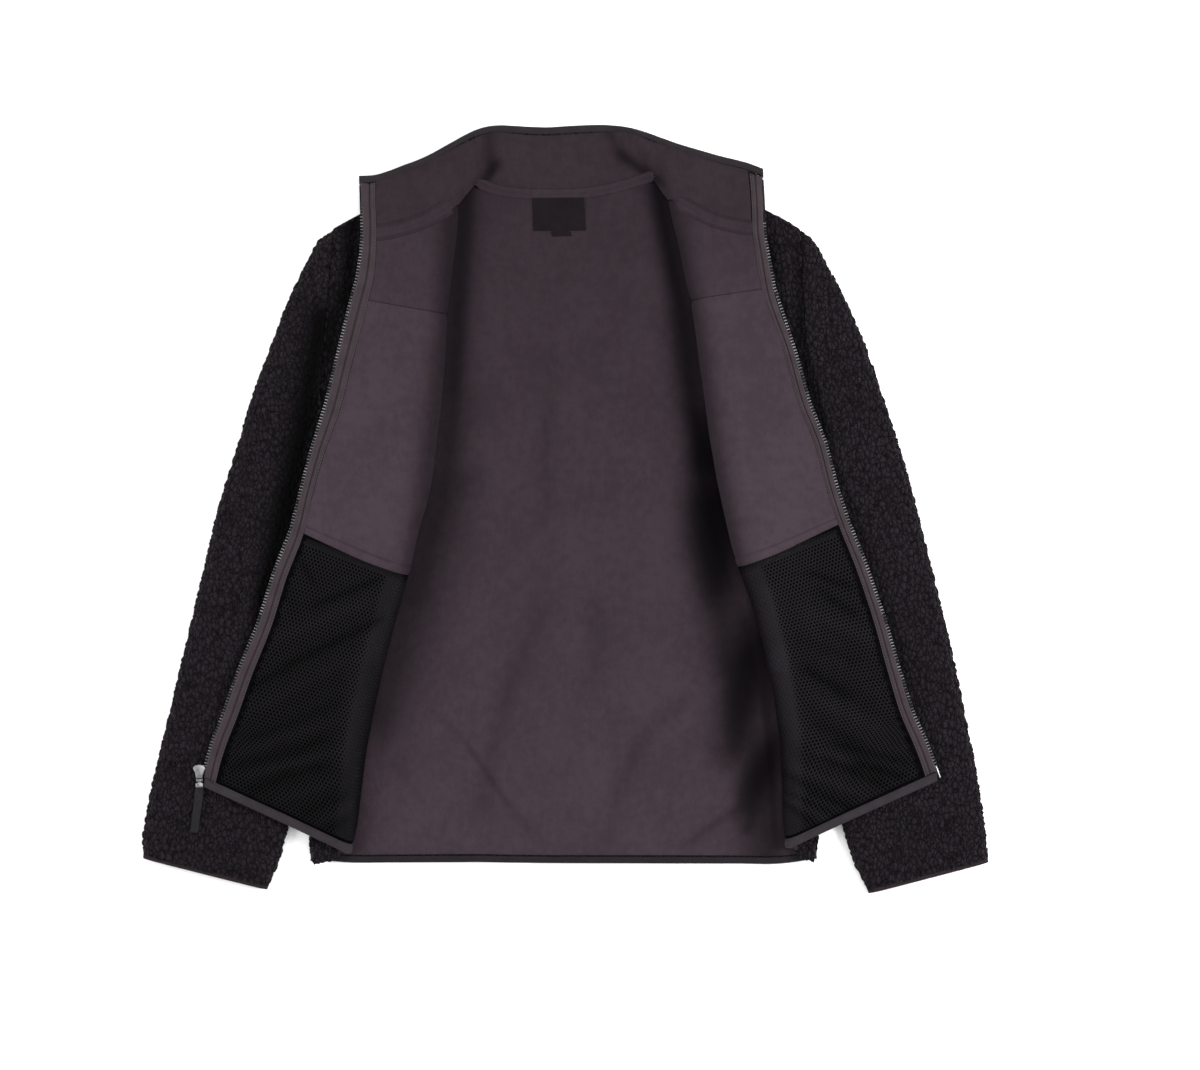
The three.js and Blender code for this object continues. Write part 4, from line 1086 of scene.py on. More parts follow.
def pile_tree(material: bpy.types.Material) -> bpy.types.NodeTree:
    """Make the tree that raises a skin into curly clumps of pile.

    The clumps are cells of a jittered net, bent by noise so that their cracks wander. Their
    tops reach the skin and their edges sink below it, by each point's own pile weight.

    Args:
        material: the finish to set.

    Returns:
        The tree, with inputs Clump, Relief, Wander and Seed.
    """
    graph, start = geometry_tree(
        "curly_pile", Clump=6.0 * MM, Relief=2.4 * MM, Wander=3.0 * MM, Seed=0.0
    )
    moved = seeded_place(graph, start, 0.37, 0.11)
    wander = graph.times(start["Wander"], 2.0)
    bent = graph.bent(moved, 9 * MM, wander, Detail=1.5, Roughness=0.5)
    grain = graph.vector("MULTIPLY", bent, (1.0, 0.8, 1.0))
    size = graph.math("DIVIDE", 1.0, start["Clump"])
    round_top = graph.cells("SMOOTH_F1", grain, size, Smoothness=0.35)
    crack = graph.cells("DISTANCE_TO_EDGE", grain, size)
    small = graph.cells("F1", bent, graph.times(size, 2.3))
    height = graph.total(
        (graph.ramp(round_top, 0.85, 0.1), 0.3),
        (graph.ramp(crack, 0.0, 0.2), 0.42),
        (graph.ramp(small, 0.75, 0.1), 0.28),
    )
    stored = graph.add(
        "GeometryNodeStoreNamedAttribute", {"data_type": "FLOAT", "domain": "POINT"},
        Geometry=start["Geometry"], Name="height", Value=height,
    )
    depth = graph.times(graph.math("SUBTRACT", height, 0.92), start["Relief"])
    return finished_tree(graph, pushed_out(graph, stored.outputs[0], depth), material)


def swell_tree(material: bpy.types.Material) -> bpy.types.NodeTree:
    """Make the tree that gives flat cloth its slight unevenness.

    Args:
        material: the finish to set.

    Returns:
        The tree, with inputs Size, Height and Seed.
    """
    graph, start = geometry_tree("soft_swell", Size=45 * MM, Height=0.8 * MM, Seed=0.0)
    moved = seeded_place(graph, start, 0.21, 0.4)
    size = graph.math("DIVIDE", 1.0, start["Size"])
    swell = graph.add("ShaderNodeTexNoise", Vector=moved, Scale=size, Detail=1.0, Roughness=0.4)
    depth = graph.times(graph.math("SUBTRACT", swell.outputs[0], 0.5), start["Height"])
    return finished_tree(graph, pushed_out(graph, start["Geometry"], graph.times(depth, 2.0)), material)


def along_tree(
    name: str, material: bpy.types.Material, shape: Callable[[Graph, Any], Any]
) -> bpy.types.NodeTree:
    """Make a tree that repeats one small shape along lines.

    The lines are edges whose points carry the direction that the cloth faces. Each copy has
    its length along the line and its top the way that the cloth faces.

    Args:
        name: the tree's name.
        material: the finish to set.
        shape: draws the small shape from the graph and the tree's inputs.

    Returns:
        The tree, with inputs Pitch, Length, Width and Thick.
    """
    graph, start = geometry_tree(
        name, Pitch=3.0 * MM, Length=2.2 * MM, Width=0.6 * MM, Thick=0.4 * MM
    )
    line = graph.add("GeometryNodeMeshToCurve", Mesh=start["Geometry"])
    even = graph.add(
        "GeometryNodeResampleCurve", {"mode": "LENGTH"}, Curve=line.outputs[0], Length=start["Pitch"]
    )
    face = graph.add("GeometryNodeInputNamedAttribute", {"data_type": "FLOAT_VECTOR"}, Name="face")
    tangent = graph.add("GeometryNodeInputTangent").outputs[0]
    upright = graph.add("FunctionNodeAlignRotationToVector", {"axis": "Z"}, Vector=face.outputs[0])
    turned = graph.add(
        "FunctionNodeAlignRotationToVector", {"axis": "X", "pivot_axis": "Z"},
        Rotation=upright.outputs[0], Vector=tangent,
    )
    copies = graph.add(
        "GeometryNodeInstanceOnPoints", Points=even.outputs[0], Instance=shape(graph, start),
        Rotation=turned.outputs[0],
    )
    real = graph.add("GeometryNodeRealizeInstances", Geometry=copies.outputs[0])
    return finished_tree(graph, real.outputs[0], material)


def stitch_shape(graph: Graph, start: Any) -> Any:
    """Draw one stitch: a short plump grain of thread."""
    grain = graph.add("GeometryNodeMeshUVSphere", Segments=6, Rings=4, Radius=0.5)
    size = graph.add("ShaderNodeCombineXYZ", X=start["Length"], Y=start["Width"], Z=start["Thick"])
    return graph.add(
        "GeometryNodeTransform", Geometry=grain.outputs[0], Scale=size.outputs[0]
    ).outputs[0]


def tooth_shape(graph: Graph, start: Any) -> Any:
    """Draw one zip tooth: a bar across the tape's edge with a broader head outside."""
    length, width, thick = start["Length"], start["Width"], start["Thick"]
    outside = graph.times(graph.times(width, 0.5), 0.62)
    bar = graph.add("ShaderNodeCombineXYZ", X=graph.times(length, 0.72), Y=width, Z=thick)
    head = graph.add(
        "ShaderNodeCombineXYZ", X=length, Y=graph.times(width, 0.42), Z=graph.times(thick, 0.86)
    )
    body, tip = (graph.add("GeometryNodeMeshCube", Size=box.outputs[0]) for box in (bar, head))
    shift = graph.add("ShaderNodeCombineXYZ", Y=outside)
    tip = graph.add("GeometryNodeTransform", Translation=shift.outputs[0], Geometry=tip.outputs[0])
    both = graph.add("GeometryNodeJoinGeometry", Geometry=body.outputs[0])
    return graph.set(both, Geometry=tip.outputs[0]).outputs[0]


def net_tree(material: bpy.types.Material) -> bpy.types.NodeTree:
    """Make the tree that turns an even lattice of triangles into a net of round holes.

    Args:
        material: the finish to set.

    Returns:
        The tree, with inputs Hole (share of a cell, times each point's own "open") and Thick.
    """
    graph, start = geometry_tree("pocket_net", Hole=0.62, Thick=0.35 * MM)
    cells = graph.add("GeometryNodeDualMesh", Mesh=start["Geometry"])
    inner = graph.add(
        "GeometryNodeExtrudeMesh", {"mode": "FACES"}, Mesh=cells.outputs[0], Offset_Scale=0.0,
        Individual=True,
    )
    ajar = graph.add("GeometryNodeInputNamedAttribute", {"data_type": "FLOAT"}, Name="open")
    top = inner.outputs["Top"]
    shrunk = graph.add(
        "GeometryNodeScaleElements", {"domain": "FACE"}, Geometry=inner.outputs["Mesh"],
        Selection=top, Scale=graph.times(start["Hole"], ajar.outputs[0]),
    )
    sunk = graph.add(
        "GeometryNodeExtrudeMesh", {"mode": "FACES"}, Mesh=shrunk.outputs[0], Selection=top,
        Offset_Scale=graph.times(start["Thick"], -1.0), Individual=True,
    )
    opened = graph.add(
        "GeometryNodeDeleteGeometry", {"domain": "FACE", "mode": "ALL"}, Geometry=sunk.outputs["Mesh"],
        Selection=sunk.outputs["Top"],
    )
    soft = graph.add("GeometryNodeSetShadeSmooth", Geometry=opened.outputs[0], Shade_Smooth=True)
    return finished_tree(graph, soft.outputs[0], material)


# ---------------------------------------------------------------------------
# The jacket's sub-assemblies
# ---------------------------------------------------------------------------

TO_HEM = (0.0, -1.0, 0.0)
TO_COLLAR = (0.0, 1.0, 0.0)
TO_RIGHT = (1.0, 0.0, 0.0)
UP = (0.0, 0.0, 1.0)


def place_piece(
    obj: bpy.types.Object, slot: str, nodes: Sequence[str] = (), body: str = BODY, finish: Any = None
) -> bpy.types.Object:
    """Give a finished piece its finish, attach it to its body and hide the frame nodes it stands for.

    Args:
        obj: the piece.
        slot: not used.
        nodes: the frame nodes that it stands for.
        body: the body that it moves with.
        finish: the material to give it, where it has none yet or another.

    Returns:
        The same piece.
    """
    if finish is not None:
        obj.data.materials.clear()
        obj.data.materials.append(finish)
    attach(obj, body)
    if nodes:
        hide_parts(*nodes)
    LOG.info("%s: %d faces", obj.name, len(obj.data.polygons))
    return obj


WIDE = 8.5 * MM        # folds at least this wide are hollows with open ends
END_FADE = 3.0         # how fast a narrow fold dies away at its ends, over its length
END_SHARE = 0.4        # what is left of it there, before smoothing
SPINDLE_END = 0.08     # where a spindle's half wave starts
SPINDLE_TIP = 0.35     # a spindle's least width


@dataclass(frozen=True)
class Crease:
    """One soft fold or hollow, by its ends in the plan, height, half width and shade.

    The shade is painted shade that darkens the colour where shadow falls, and less than nothing
    is a painted highlight that lightens it. A spindle is widest and strongest half way along.
    """

    start: tuple[float, float]
    end: tuple[float, float]
    height: float
    width: float
    shade: float = 0.0
    spindle: bool = False

    def share(self, points: Array) -> Array:
        """Strength of the fold at each point of a grid, from 0 to 1."""
        start, end = np.array(self.start), np.array(self.end)
        run = end - start
        away = points[..., :2] - start
        along = (away @ run) / (run @ run)
        held = np.clip(along, 0.0, 1.0)
        across = np.linalg.norm(away - held[..., None] * run, axis=-1)
        if self.spindle:
            swell = np.sin(math.pi * (SPINDLE_END + (1 - 2 * SPINDLE_END) * held))
            return swell * bell(across, self.width * (SPINDLE_TIP + (1 - SPINDLE_TIP) * swell))
        ends = smooth(along * END_FADE + END_SHARE) * smooth((1 - along) * END_FADE + END_SHARE)
        return (ends if self.width < WIDE else 1.0) * bell(across, self.width)


def folds(*rows: tuple[float, ...]) -> tuple[Crease, ...]:
    """Read creases from rows of numbers.

    Args:
        rows: both ends' X and Y, the height and the half width in millimetres, then the shade
            and whether it is a spindle, where it has them.

    Returns:
        The creases.
    """
    return tuple(
        Crease((a / 1000, b / 1000), (c / 1000, d / 1000), height * MM, width * MM, *rest)
        for a, b, c, d, height, width, *rest in rows
    )


def shaded(first: Any, second: Any) -> Any:
    """Lay one shade over another: what each lets through is multiplied."""
    return 1 - (1 - first) * (1 - second)


def folds_over(creases: Sequence[Crease], points: Array) -> tuple[Array, Array]:
    """Add up folds over a grid.

    Args:
        creases: the folds.
        points: the grid.

    Returns:
        The height and the painted shade at each point.
    """
    height, shade, hollow_shade = np.zeros((3, *points.shape[:-1]))
    # each fold adds height and painted shade; wide hollows keep only their strongest painted shadow
    for crease in creases:
        share = crease.share(points)
        height += crease.height * share
        if crease.spindle:
            shade = 1 - (1 - shade) * (1 - crease.shade) ** share
        elif crease.width >= WIDE and crease.shade > 0:
            hollow_shade = np.maximum(hollow_shade, crease.shade * share)
        else:
            shade = shaded(shade, crease.shade * share)
    return height, shaded(shade, hollow_shade)


def edge_distance(rows: Array, cols: Array) -> Array:
    """Distance of every point of a grid from its nearest edge."""
    down = np.minimum(rows - rows[0], rows[-1] - rows)
    over = np.minimum(cols - cols[0], cols[-1] - cols)
    return np.minimum(down[:, None], over[None, :])


def over_edge(points: Array, rows: Array, reach: float, lift: float, where: Array) -> Array:
    """Let the last rows of a skin reach over, or under, the binding below them.

    Args:
        points: the skin's grid.
        rows: how far down each row lies.
        reach: how far the last row moves on.
        lift: how far it rises.
        where: the share of that for every point.

    Returns:
        The grid, moved.
    """
    run, rise_from, rise_in = 9 * MM, 13 * MM, 4 * MM
    near = smooth((rows - rows[-1] + run) / run)[:, None] * where
    risen = smooth((rows - rows[-1] + rise_from) / rise_in)[:, None] * where
    heading = points[-1] - points[np.searchsorted(rows, rows[-1] - run)]
    moved = points + unit(heading)[None] * (near * reach)[..., None]
    moved[..., 2] += risen * lift
    return moved


@dataclass
class LiningSpec:
    """How one flat lining is drawn.

    The roll is how far its edges turn down. Its painted shade runs from the upper edge to the
    lower. A seam is how far above the lower edge a sewn groove runs, with painted shade in it,
    and the sag and the tuck are how far that edge hangs down in the middle and reaches under a
    binding.
    """

    step: float = 3.6 * MM
    back_step: float = 24 * MM
    roll: float = 0.9 * MM
    roll_reach: float = 3.5 * MM
    fold_reach: float = 12 * MM
    swell_reach: float = 9 * MM
    creases: tuple[Crease, ...] = ()
    shade: tuple[float, float] = (0.0, 0.0)
    seam: float = 0.0
    groove: float = 0.7 * MM
    groove_width: float = 0.9 * MM
    groove_rows: tuple[float, ...] = (-1.6, -0.8, 0.0, 0.8, 1.6)
    groove_shade: float = 0.3
    sag: float = 0.0
    sag_from: float = 26 * MM
    sag_lift: float = 1.5 * MM
    tuck: float = 0.0

    def build(self, cloth: ClothNode, name: str) -> bpy.types.Object:
        """Draw the lining over its node: a fine face, a plain back and rolled-down edges.

        Args:
            cloth: the node's skins.
            name: the piece's name.

        Returns:
            The object.
        """
        face = cloth.face
        rows = self.near_edges(spaced(face.row_knots, self.step))
        cols = self.near_edges(spaced(face.col_knots, self.step))
        fold_line = rows[-1] - self.seam
        if self.seam:
            rows = np.unique(np.append(rows, fold_line + np.array(self.groove_rows) * MM))
        points = face.points(rows, cols)
        inward = edge_distance(rows, cols)
        height, shade = folds_over(self.creases, points)
        rise = height * smooth(inward / self.fold_reach)
        rise = rise - self.roll * (1 - smooth(inward / self.roll_reach))
        down = (rows / rows[-1])[:, None]
        shade = shaded(shade, self.shade[0] * (1 - down) + self.shade[1] * down)
        shade = np.clip(shade, 0.0, 1.0)
        normals = cloth.outward(points)
        if self.seam:
            # painted shade in the sewn groove
            line = bell(rows - fold_line, self.groove_width)[:, None]
            rise = rise - self.groove * line
            shade = np.maximum(shade, self.groove_shade * line)
        if self.sag:
            from_hem = (rows - rows[-1])[:, None]
            middle = np.sin(math.pi * cols / cols[-1])[None, :]
            rise = rise + self.sag_lift * middle * smooth((from_hem + 9 * MM) / (6 * MM))
            low = smooth((from_hem + self.sag_from) / self.sag_from)
            heading = np.gradient(points, rows, axis=0)
            points = points + heading * (self.sag * middle * low)[..., None]
        points = points + normals * rise[..., None]
        if self.tuck:
            points = over_edge(points, rows, self.tuck, 0.0, np.ones((1, len(cols))))
        plain = cloth.back.even(self.back_step, self.back_step)
        return two_skins(name, points, plain, weight=smooth(inward / self.swell_reach), shade=shade)

    def near_edges(self, stops: Array) -> Array:
        """Add stops close to both ends, where the edge rolls down."""
        extra = np.array([0.9, 2.0]) * MM
        return np.unique(np.concatenate([stops, stops[0] + extra, stops[-1] - extra]))


@dataclass
class Back:
    """The back: its sherpa underneath, its fleece lining facing up, and its creases."""

    fine: float = 3.4 * MM
    shell_step: float = 3.0 * MM
    swell: float = 1.3 * MM
    creases: tuple[Crease, ...] = folds(
        # low ridges that run down from the right side
        (150, -180, 112, -325, 2, 11), (176, -200, 150, -320, 1.6, 9), (96, -90, 30, -170, 1.2, 15),
        (20, -220, 10, -335, 1.2, 12),
        # painted shade for soft troughs low on the back; the cloth stays flat under them
        (-26, -105, -53, -171, 0, 11, 0.14), (-50, -160, -76, -249, 0, 10, 0.2),
        (-75, -235, -81, -293, 0, 11, 0.16), (32, -95, 30, -166, 0, 13, 0.17),
        (123, -188, 79, -227, 0, 9, 0.16), (82, -222, 57, -271, 0, 10, 0.2),
        (58, -262, 46, -326, 0, 9, 0.18),
        # a sharper crease from the left side down to the hem: a slight dip with painted shade
        (-140, -196, -98, -236, -0.2, 4, 0.14), (-100, -234, -74, -272, -0.2, 3.5, 0.26),
        (-78, -266, -56, -300, -0.2, 3.5, 0.26), (-60, -294, -22, -336, -0.2, 5, 0.16),
        # the middle's faint fold, and a trough on the left; its dips carry painted shade
        (-4, 200, -10, -80, 0.8, 7), (-16, 160, -22, -20, -0.3, 8, 0.12),
        (-110, -160, -160, -300, 1.8, 13), (-128, -130, -170, -260, -0.4, 12, 0.16),
        # painted shadow beside the left roll, where the turned-back front shades the lining
        (-92, 380, -101, 310, 0, 11, 0.72), (-101, 310, -113, 120, 0, 15, 0.7),
        (-113, 120, -120, 30, 0, 20, 0.6), (-120, 30, -152, -90, 0, 30, 0.64),
        (-152, -90, -188, -210, 0, 32, 0.56), (-200, -220, -214, -345, 0, 10, 0.3),
        # painted shadow beside the right roll, deepest where the side seam buckles
        (84, 385, 92, 320, 0, 10, 0.7), (92, 320, 116, 200, 0, 14, 0.8),
        (116, 200, 128, 100, 0, 18, 0.78), (128, 100, 140, 50, 0, 17, 0.84),
        (142, 90, 148, -92, 0, 22, 0.9, True), (148, 0, 154, -80, 0, 26, 0.8),
        (154, -80, 166, -160, 0, 26, 0.7), (192, -96, 171, -234, 0, 19, 0.84, True),
        (176, -150, 172, -240, 0, 28, 0.7), (217, -222, 175, -308, 0, 15, 0.84, True),
        (180, -295, 118, -338, 0, 4.5, 0.28), (191, -296, 180, -328, 0, 7, 0.45),
        (186, -230, 204, -345, 0, 27, 0.68), (198, -130, 210, -345, 0, 11, 0.66),
    )
    # painted shade: darker towards the collar, lighter towards the hem
    shade: tuple[float, float] = (0.47, 0.14)

    def build(self, pile: bpy.types.NodeTree, swell: bpy.types.NodeTree) -> None:
        """Make the lining and the shell."""
        cloth = ClothNode("back_lining", TO_HEM, TO_RIGHT)
        spec = LiningSpec(step=self.fine, creases=self.creases, shade=self.shade, tuck=3.4 * MM)
        lining = spec.build(cloth, "back_fleece")
        run_tree(lining, swell, {"Height": self.swell, "Size": 60 * MM})
        place_piece(lining, "lining", ["back_lining"])
        self.build_shell(pile)

    def build_shell(self, pile: bpy.types.NodeTree) -> None:
        """Make the sherpa that the back lies on."""
        cloth = ClothNode("back_shell", TO_HEM, TO_RIGHT)
        under, top = cloth.back.even(self.shell_step, self.shell_step), cloth.face.even(30 * MM, 30 * MM)
        shell = two_skins("back_sherpa", under, top, bulge=1.2 * MM, parts=4, weight=0.0)
        run_tree(shell, pile, {"Relief": 2.0 * MM, "Seed": 3.1})
        place_piece(shell, "sherpa", ["back_shell"])


SHOULDER_FOLDS = {
    Side.L: folds(
        # the ridge of the armhole seam, and painted shadow in the hollow between it and the zip
        (-238, 290, -222, 205, 1.6, 6), (-212, 310, -220, 205, -0.6, 10, 0.85),
        (-226, 225, -240, 150, 0, 8, 0.5),
        # the sleeve sinks away beside the zip, under painted shadow from the front's edge
        (-244, 190, -266, 70, -1.4, 17, 0.97), (-258, 110, -284, -20, -1.6, 18, 0.98),
        (-280, 20, -300, -90, -1.2, 14, 0.95), (-300, -70, -330, -190, 0, 5, 0.6),
    ),
    Side.R: folds(
        # dips along the armhole seam and painted shadow beside the zip
        (236, 290, 234, 160, -0.8, 5, 0.6), (234, 190, 262, 60, -0.8, 5, 0.55),
        (200, 280, 218, 180, 0, 8, 0.55), (226, 180, 284, -10, 0, 6, 0.4),
        (284, 10, 354, -200, 0, 6, 0.35),
    ),
}


@dataclass
class Sleeve:
    """One sleeve: a flattened tube of sherpa, finely clumped where it shows."""

    side: Side
    step: float = 1.5 * MM
    under_step: float = 7 * MM
    relief: float = 2.6 * MM
    seed: float = 1.0
    joined: float = 1.7 * MM
    cover: float = 5.0 * MM
    cover_lift: float = 0.9 * MM
    ring_points: int = 14
    same_height: float = 0.8
    joined_run: float = 9.0 * MM
    top_from: float = 6.0 * MM
    top_run: float = 5.0 * MM
    pile_from: float = 0.5 * MM
    pile_run: float = 4.0 * MM

    def rings(self) -> tuple[Array, Array]:
        """Read the outer and inner rings from the armhole to the cuff."""
        net = NodeNet(f"sleeve_{self.side.name}", rim_angle=181.0)
        grid = net.grid(range(len(net.faces)))
        if self.ring_points not in grid.shape[:2]:
            raise ValueError("a sleeve's rings have fourteen points")
        if grid.shape[0] == self.ring_points:
            grid = grid.transpose(1, 0, 2)
        tall = np.ptp(grid[:, :, 2], axis=1)
        is_outer = tall > tall.max() * self.same_height
        outer, inner = grid[is_outer], grid[~is_outer]
        order = [rings[np.argsort(-rings[:, :, 1].mean(axis=1))] for rings in (outer, inner)]
        return order[0], order[1]

    def build(self, pile: bpy.types.NodeTree) -> None:
        """Make the sleeve."""
        outer, inner = self.rings()
        patch = Patch(outer, ring=True)
        height = np.append(outer[:, :, 2].mean(axis=0), outer[:, 0, 2].mean())
        flat = [max(a, b) < 1 * MM for a, b in zip(height[:-1], height[1:])]
        cols = spaced(patch.col_knots, [self.under_step if f else self.step for f in flat])[:-1]
        rows = spaced(patch.row_knots, self.step)
        points = patch.points(rows, cols)
        points[..., 2] = np.maximum(points[..., 2], 0.0)
        near = 1 - smooth(rows / self.joined_run)
        points[..., 0] -= self.side.value * self.joined * near[:, None]
        height, shade = folds_over(SHOULDER_FOLDS[self.side], points)
        on_top = smooth((points[..., 2] - self.top_from) / self.top_run)
        points = over_edge(points, rows, self.cover, self.cover_lift, on_top)
        points[..., 2] += height * on_top
        wall = Wall()
        weight = smooth((points[..., 2] - self.pile_from) / self.pile_run)
        # painted shadow from the shoulder folds, on the sleeve's top only
        outside = wall.skin(points, ring=True, weight=weight, shade=shade * on_top)
        inside = wall.skin(inner, ring=True, weight=0.0)
        for end in (0, -1):
            wall.strip(*(np.append(ids[end], ids[end, 0]) for ids in (outside, inside)))
        sleeve = wall.build(f"sleeve_sherpa_{self.side.name}")
        run_tree(sleeve, pile, {"Relief": self.relief, "Seed": self.seed})
        place_piece(sleeve, "sherpa", [f"sleeve_{self.side.name}"])


CHEST_FOLDS = {
    Side.L: folds(
        # painted shade where the cloth turns away towards the side roll, over a slight rise
        (-112, 330, -121, 150, 0.2, 14, 0.6), (-119, 180, -140, 10, 0.2, 15, 0.6),
        (-136, 40, -160, -90, 0.2, 14, 0.55), (-190, 60, -215, -30, 1, 14),
    ),
    Side.R: folds(
        # painted shade towards the side roll, and a low ridge
        (106, 330, 128, 190, 0.2, 14, 0.45), (124, 220, 152, 40, 0.2, 16, 0.42),
        (146, 80, 174, -70, 0.2, 15, 0.42), (196, 120, 226, 10, 1, 14),
    ),
}
POCKET_FOLDS = {
    Side.L: folds(
        # painted highlight on the smooth turn beside the side roll, painted shade where it meets the back
        (-194, -120, -213, -180, 1, 8, -0.9), (-212, -180, -223, -260, 1, 8, -1.2),
        (-190, -150, -200, -235, 0, 6, 0.5), (-200, -220, -208, -330, 0, 7, 0.6),
        # drag folds from the upper inner corner: troughs of painted shade, then raised ridges
        # between them with a painted highlight
        (-181, -68, -255, -98, 0, 4, 0.85), (-180, -108, -214, -125, 0, 4, 0.8),
        (-206, -121, -285, -160, 0, 5, 0.96), (-272, -155, -320, -181, 0, 4, 0.85),
        (-222, -192, -322, -232, 0, 5, 0.6), (-236, -228, -272, -243, 0, 5, 0.75),
        (-262, -240, -336, -258, 0, 5, 0.8), (-236, -254, -280, -267, 0, 4.5, 0.8),
        (-270, -263, -318, -282, 0, 5, 0.92), (-213, -282, -264, -304, 0, 4, 0.7),
        (-216, -308, -242, -324, 0, 4, 0.75), (-268, -44, -250, -76, 0, 4, 0.6),
        (-281, -66, -268, -104, 0, 5, 0.4), (-186, -88, -296, -134, 2.4, 8, -0.7),
        (-208, -146, -318, -206, 2.2, 8, -0.5), (-226, -212, -330, -246, 1.8, 6, -0.6),
        (-226, -241, -330, -270, 1.8, 5, -0.7), (-222, -270, -292, -294, 1.8, 5, -0.7),
        (-212, -297, -252, -316, 1.4, 4, -0.6),
    ),
    Side.R: folds(
        # painted highlight on the turn beside the side roll, painted shade along its edge
        (202, -85, 214, -150, 1, 10, -0.6), (214, -150, 233, -225, 1, 10, -0.7),
        (176, -60, 196, -143, 0, 5, 0.4), (194, -135, 213, -225, 0, 5, 0.4),
        (213, -215, 220, -275, 0, 6, 0.55),
        # drag folds towards the zip: troughs of painted shade, then raised ridges between them
        # with a painted highlight
        (240, -63, 290, -79, 0, 4, 0.8), (250, -80, 292, -107, 0, 5, 0.8),
        (232, -128, 292, -153, 0, 5, 0.5), (234, -155, 286, -189, 0, 6, 0.93),
        (250, -214, 300, -235, 0, 4.5, 0.55), (264, -232, 347, -255, 0, 5, 0.85),
        (284, -252, 342, -268, 0, 5.5, 1.0), (256, -248, 326, -279, 0, 4.5, 0.85),
        (215, -262, 250, -281, 0, 4, 0.8), (242, -279, 290, -300, 0, 5, 0.92),
        (217, -280, 272, -307, 0, 3.5, 0.75), (216, -291, 256, -320, 0, 3.5, 0.75),
        (232, -100, 310, -134, 2, 8, -0.5), (238, -184, 318, -224, 2.2, 8, -0.5),
        (246, -240, 300, -258, 1.6, 4, -0.6), (226, -257, 300, -288, 1.8, 5, -0.7),
        (220, -286, 268, -314, 1.4, 4, -0.7),
    ),
}
# how far the net lies in shade, at its top and at its hem
POCKET_SHADES = {Side.L: (0.54, 0.8), Side.R: (0.42, 0.6)}


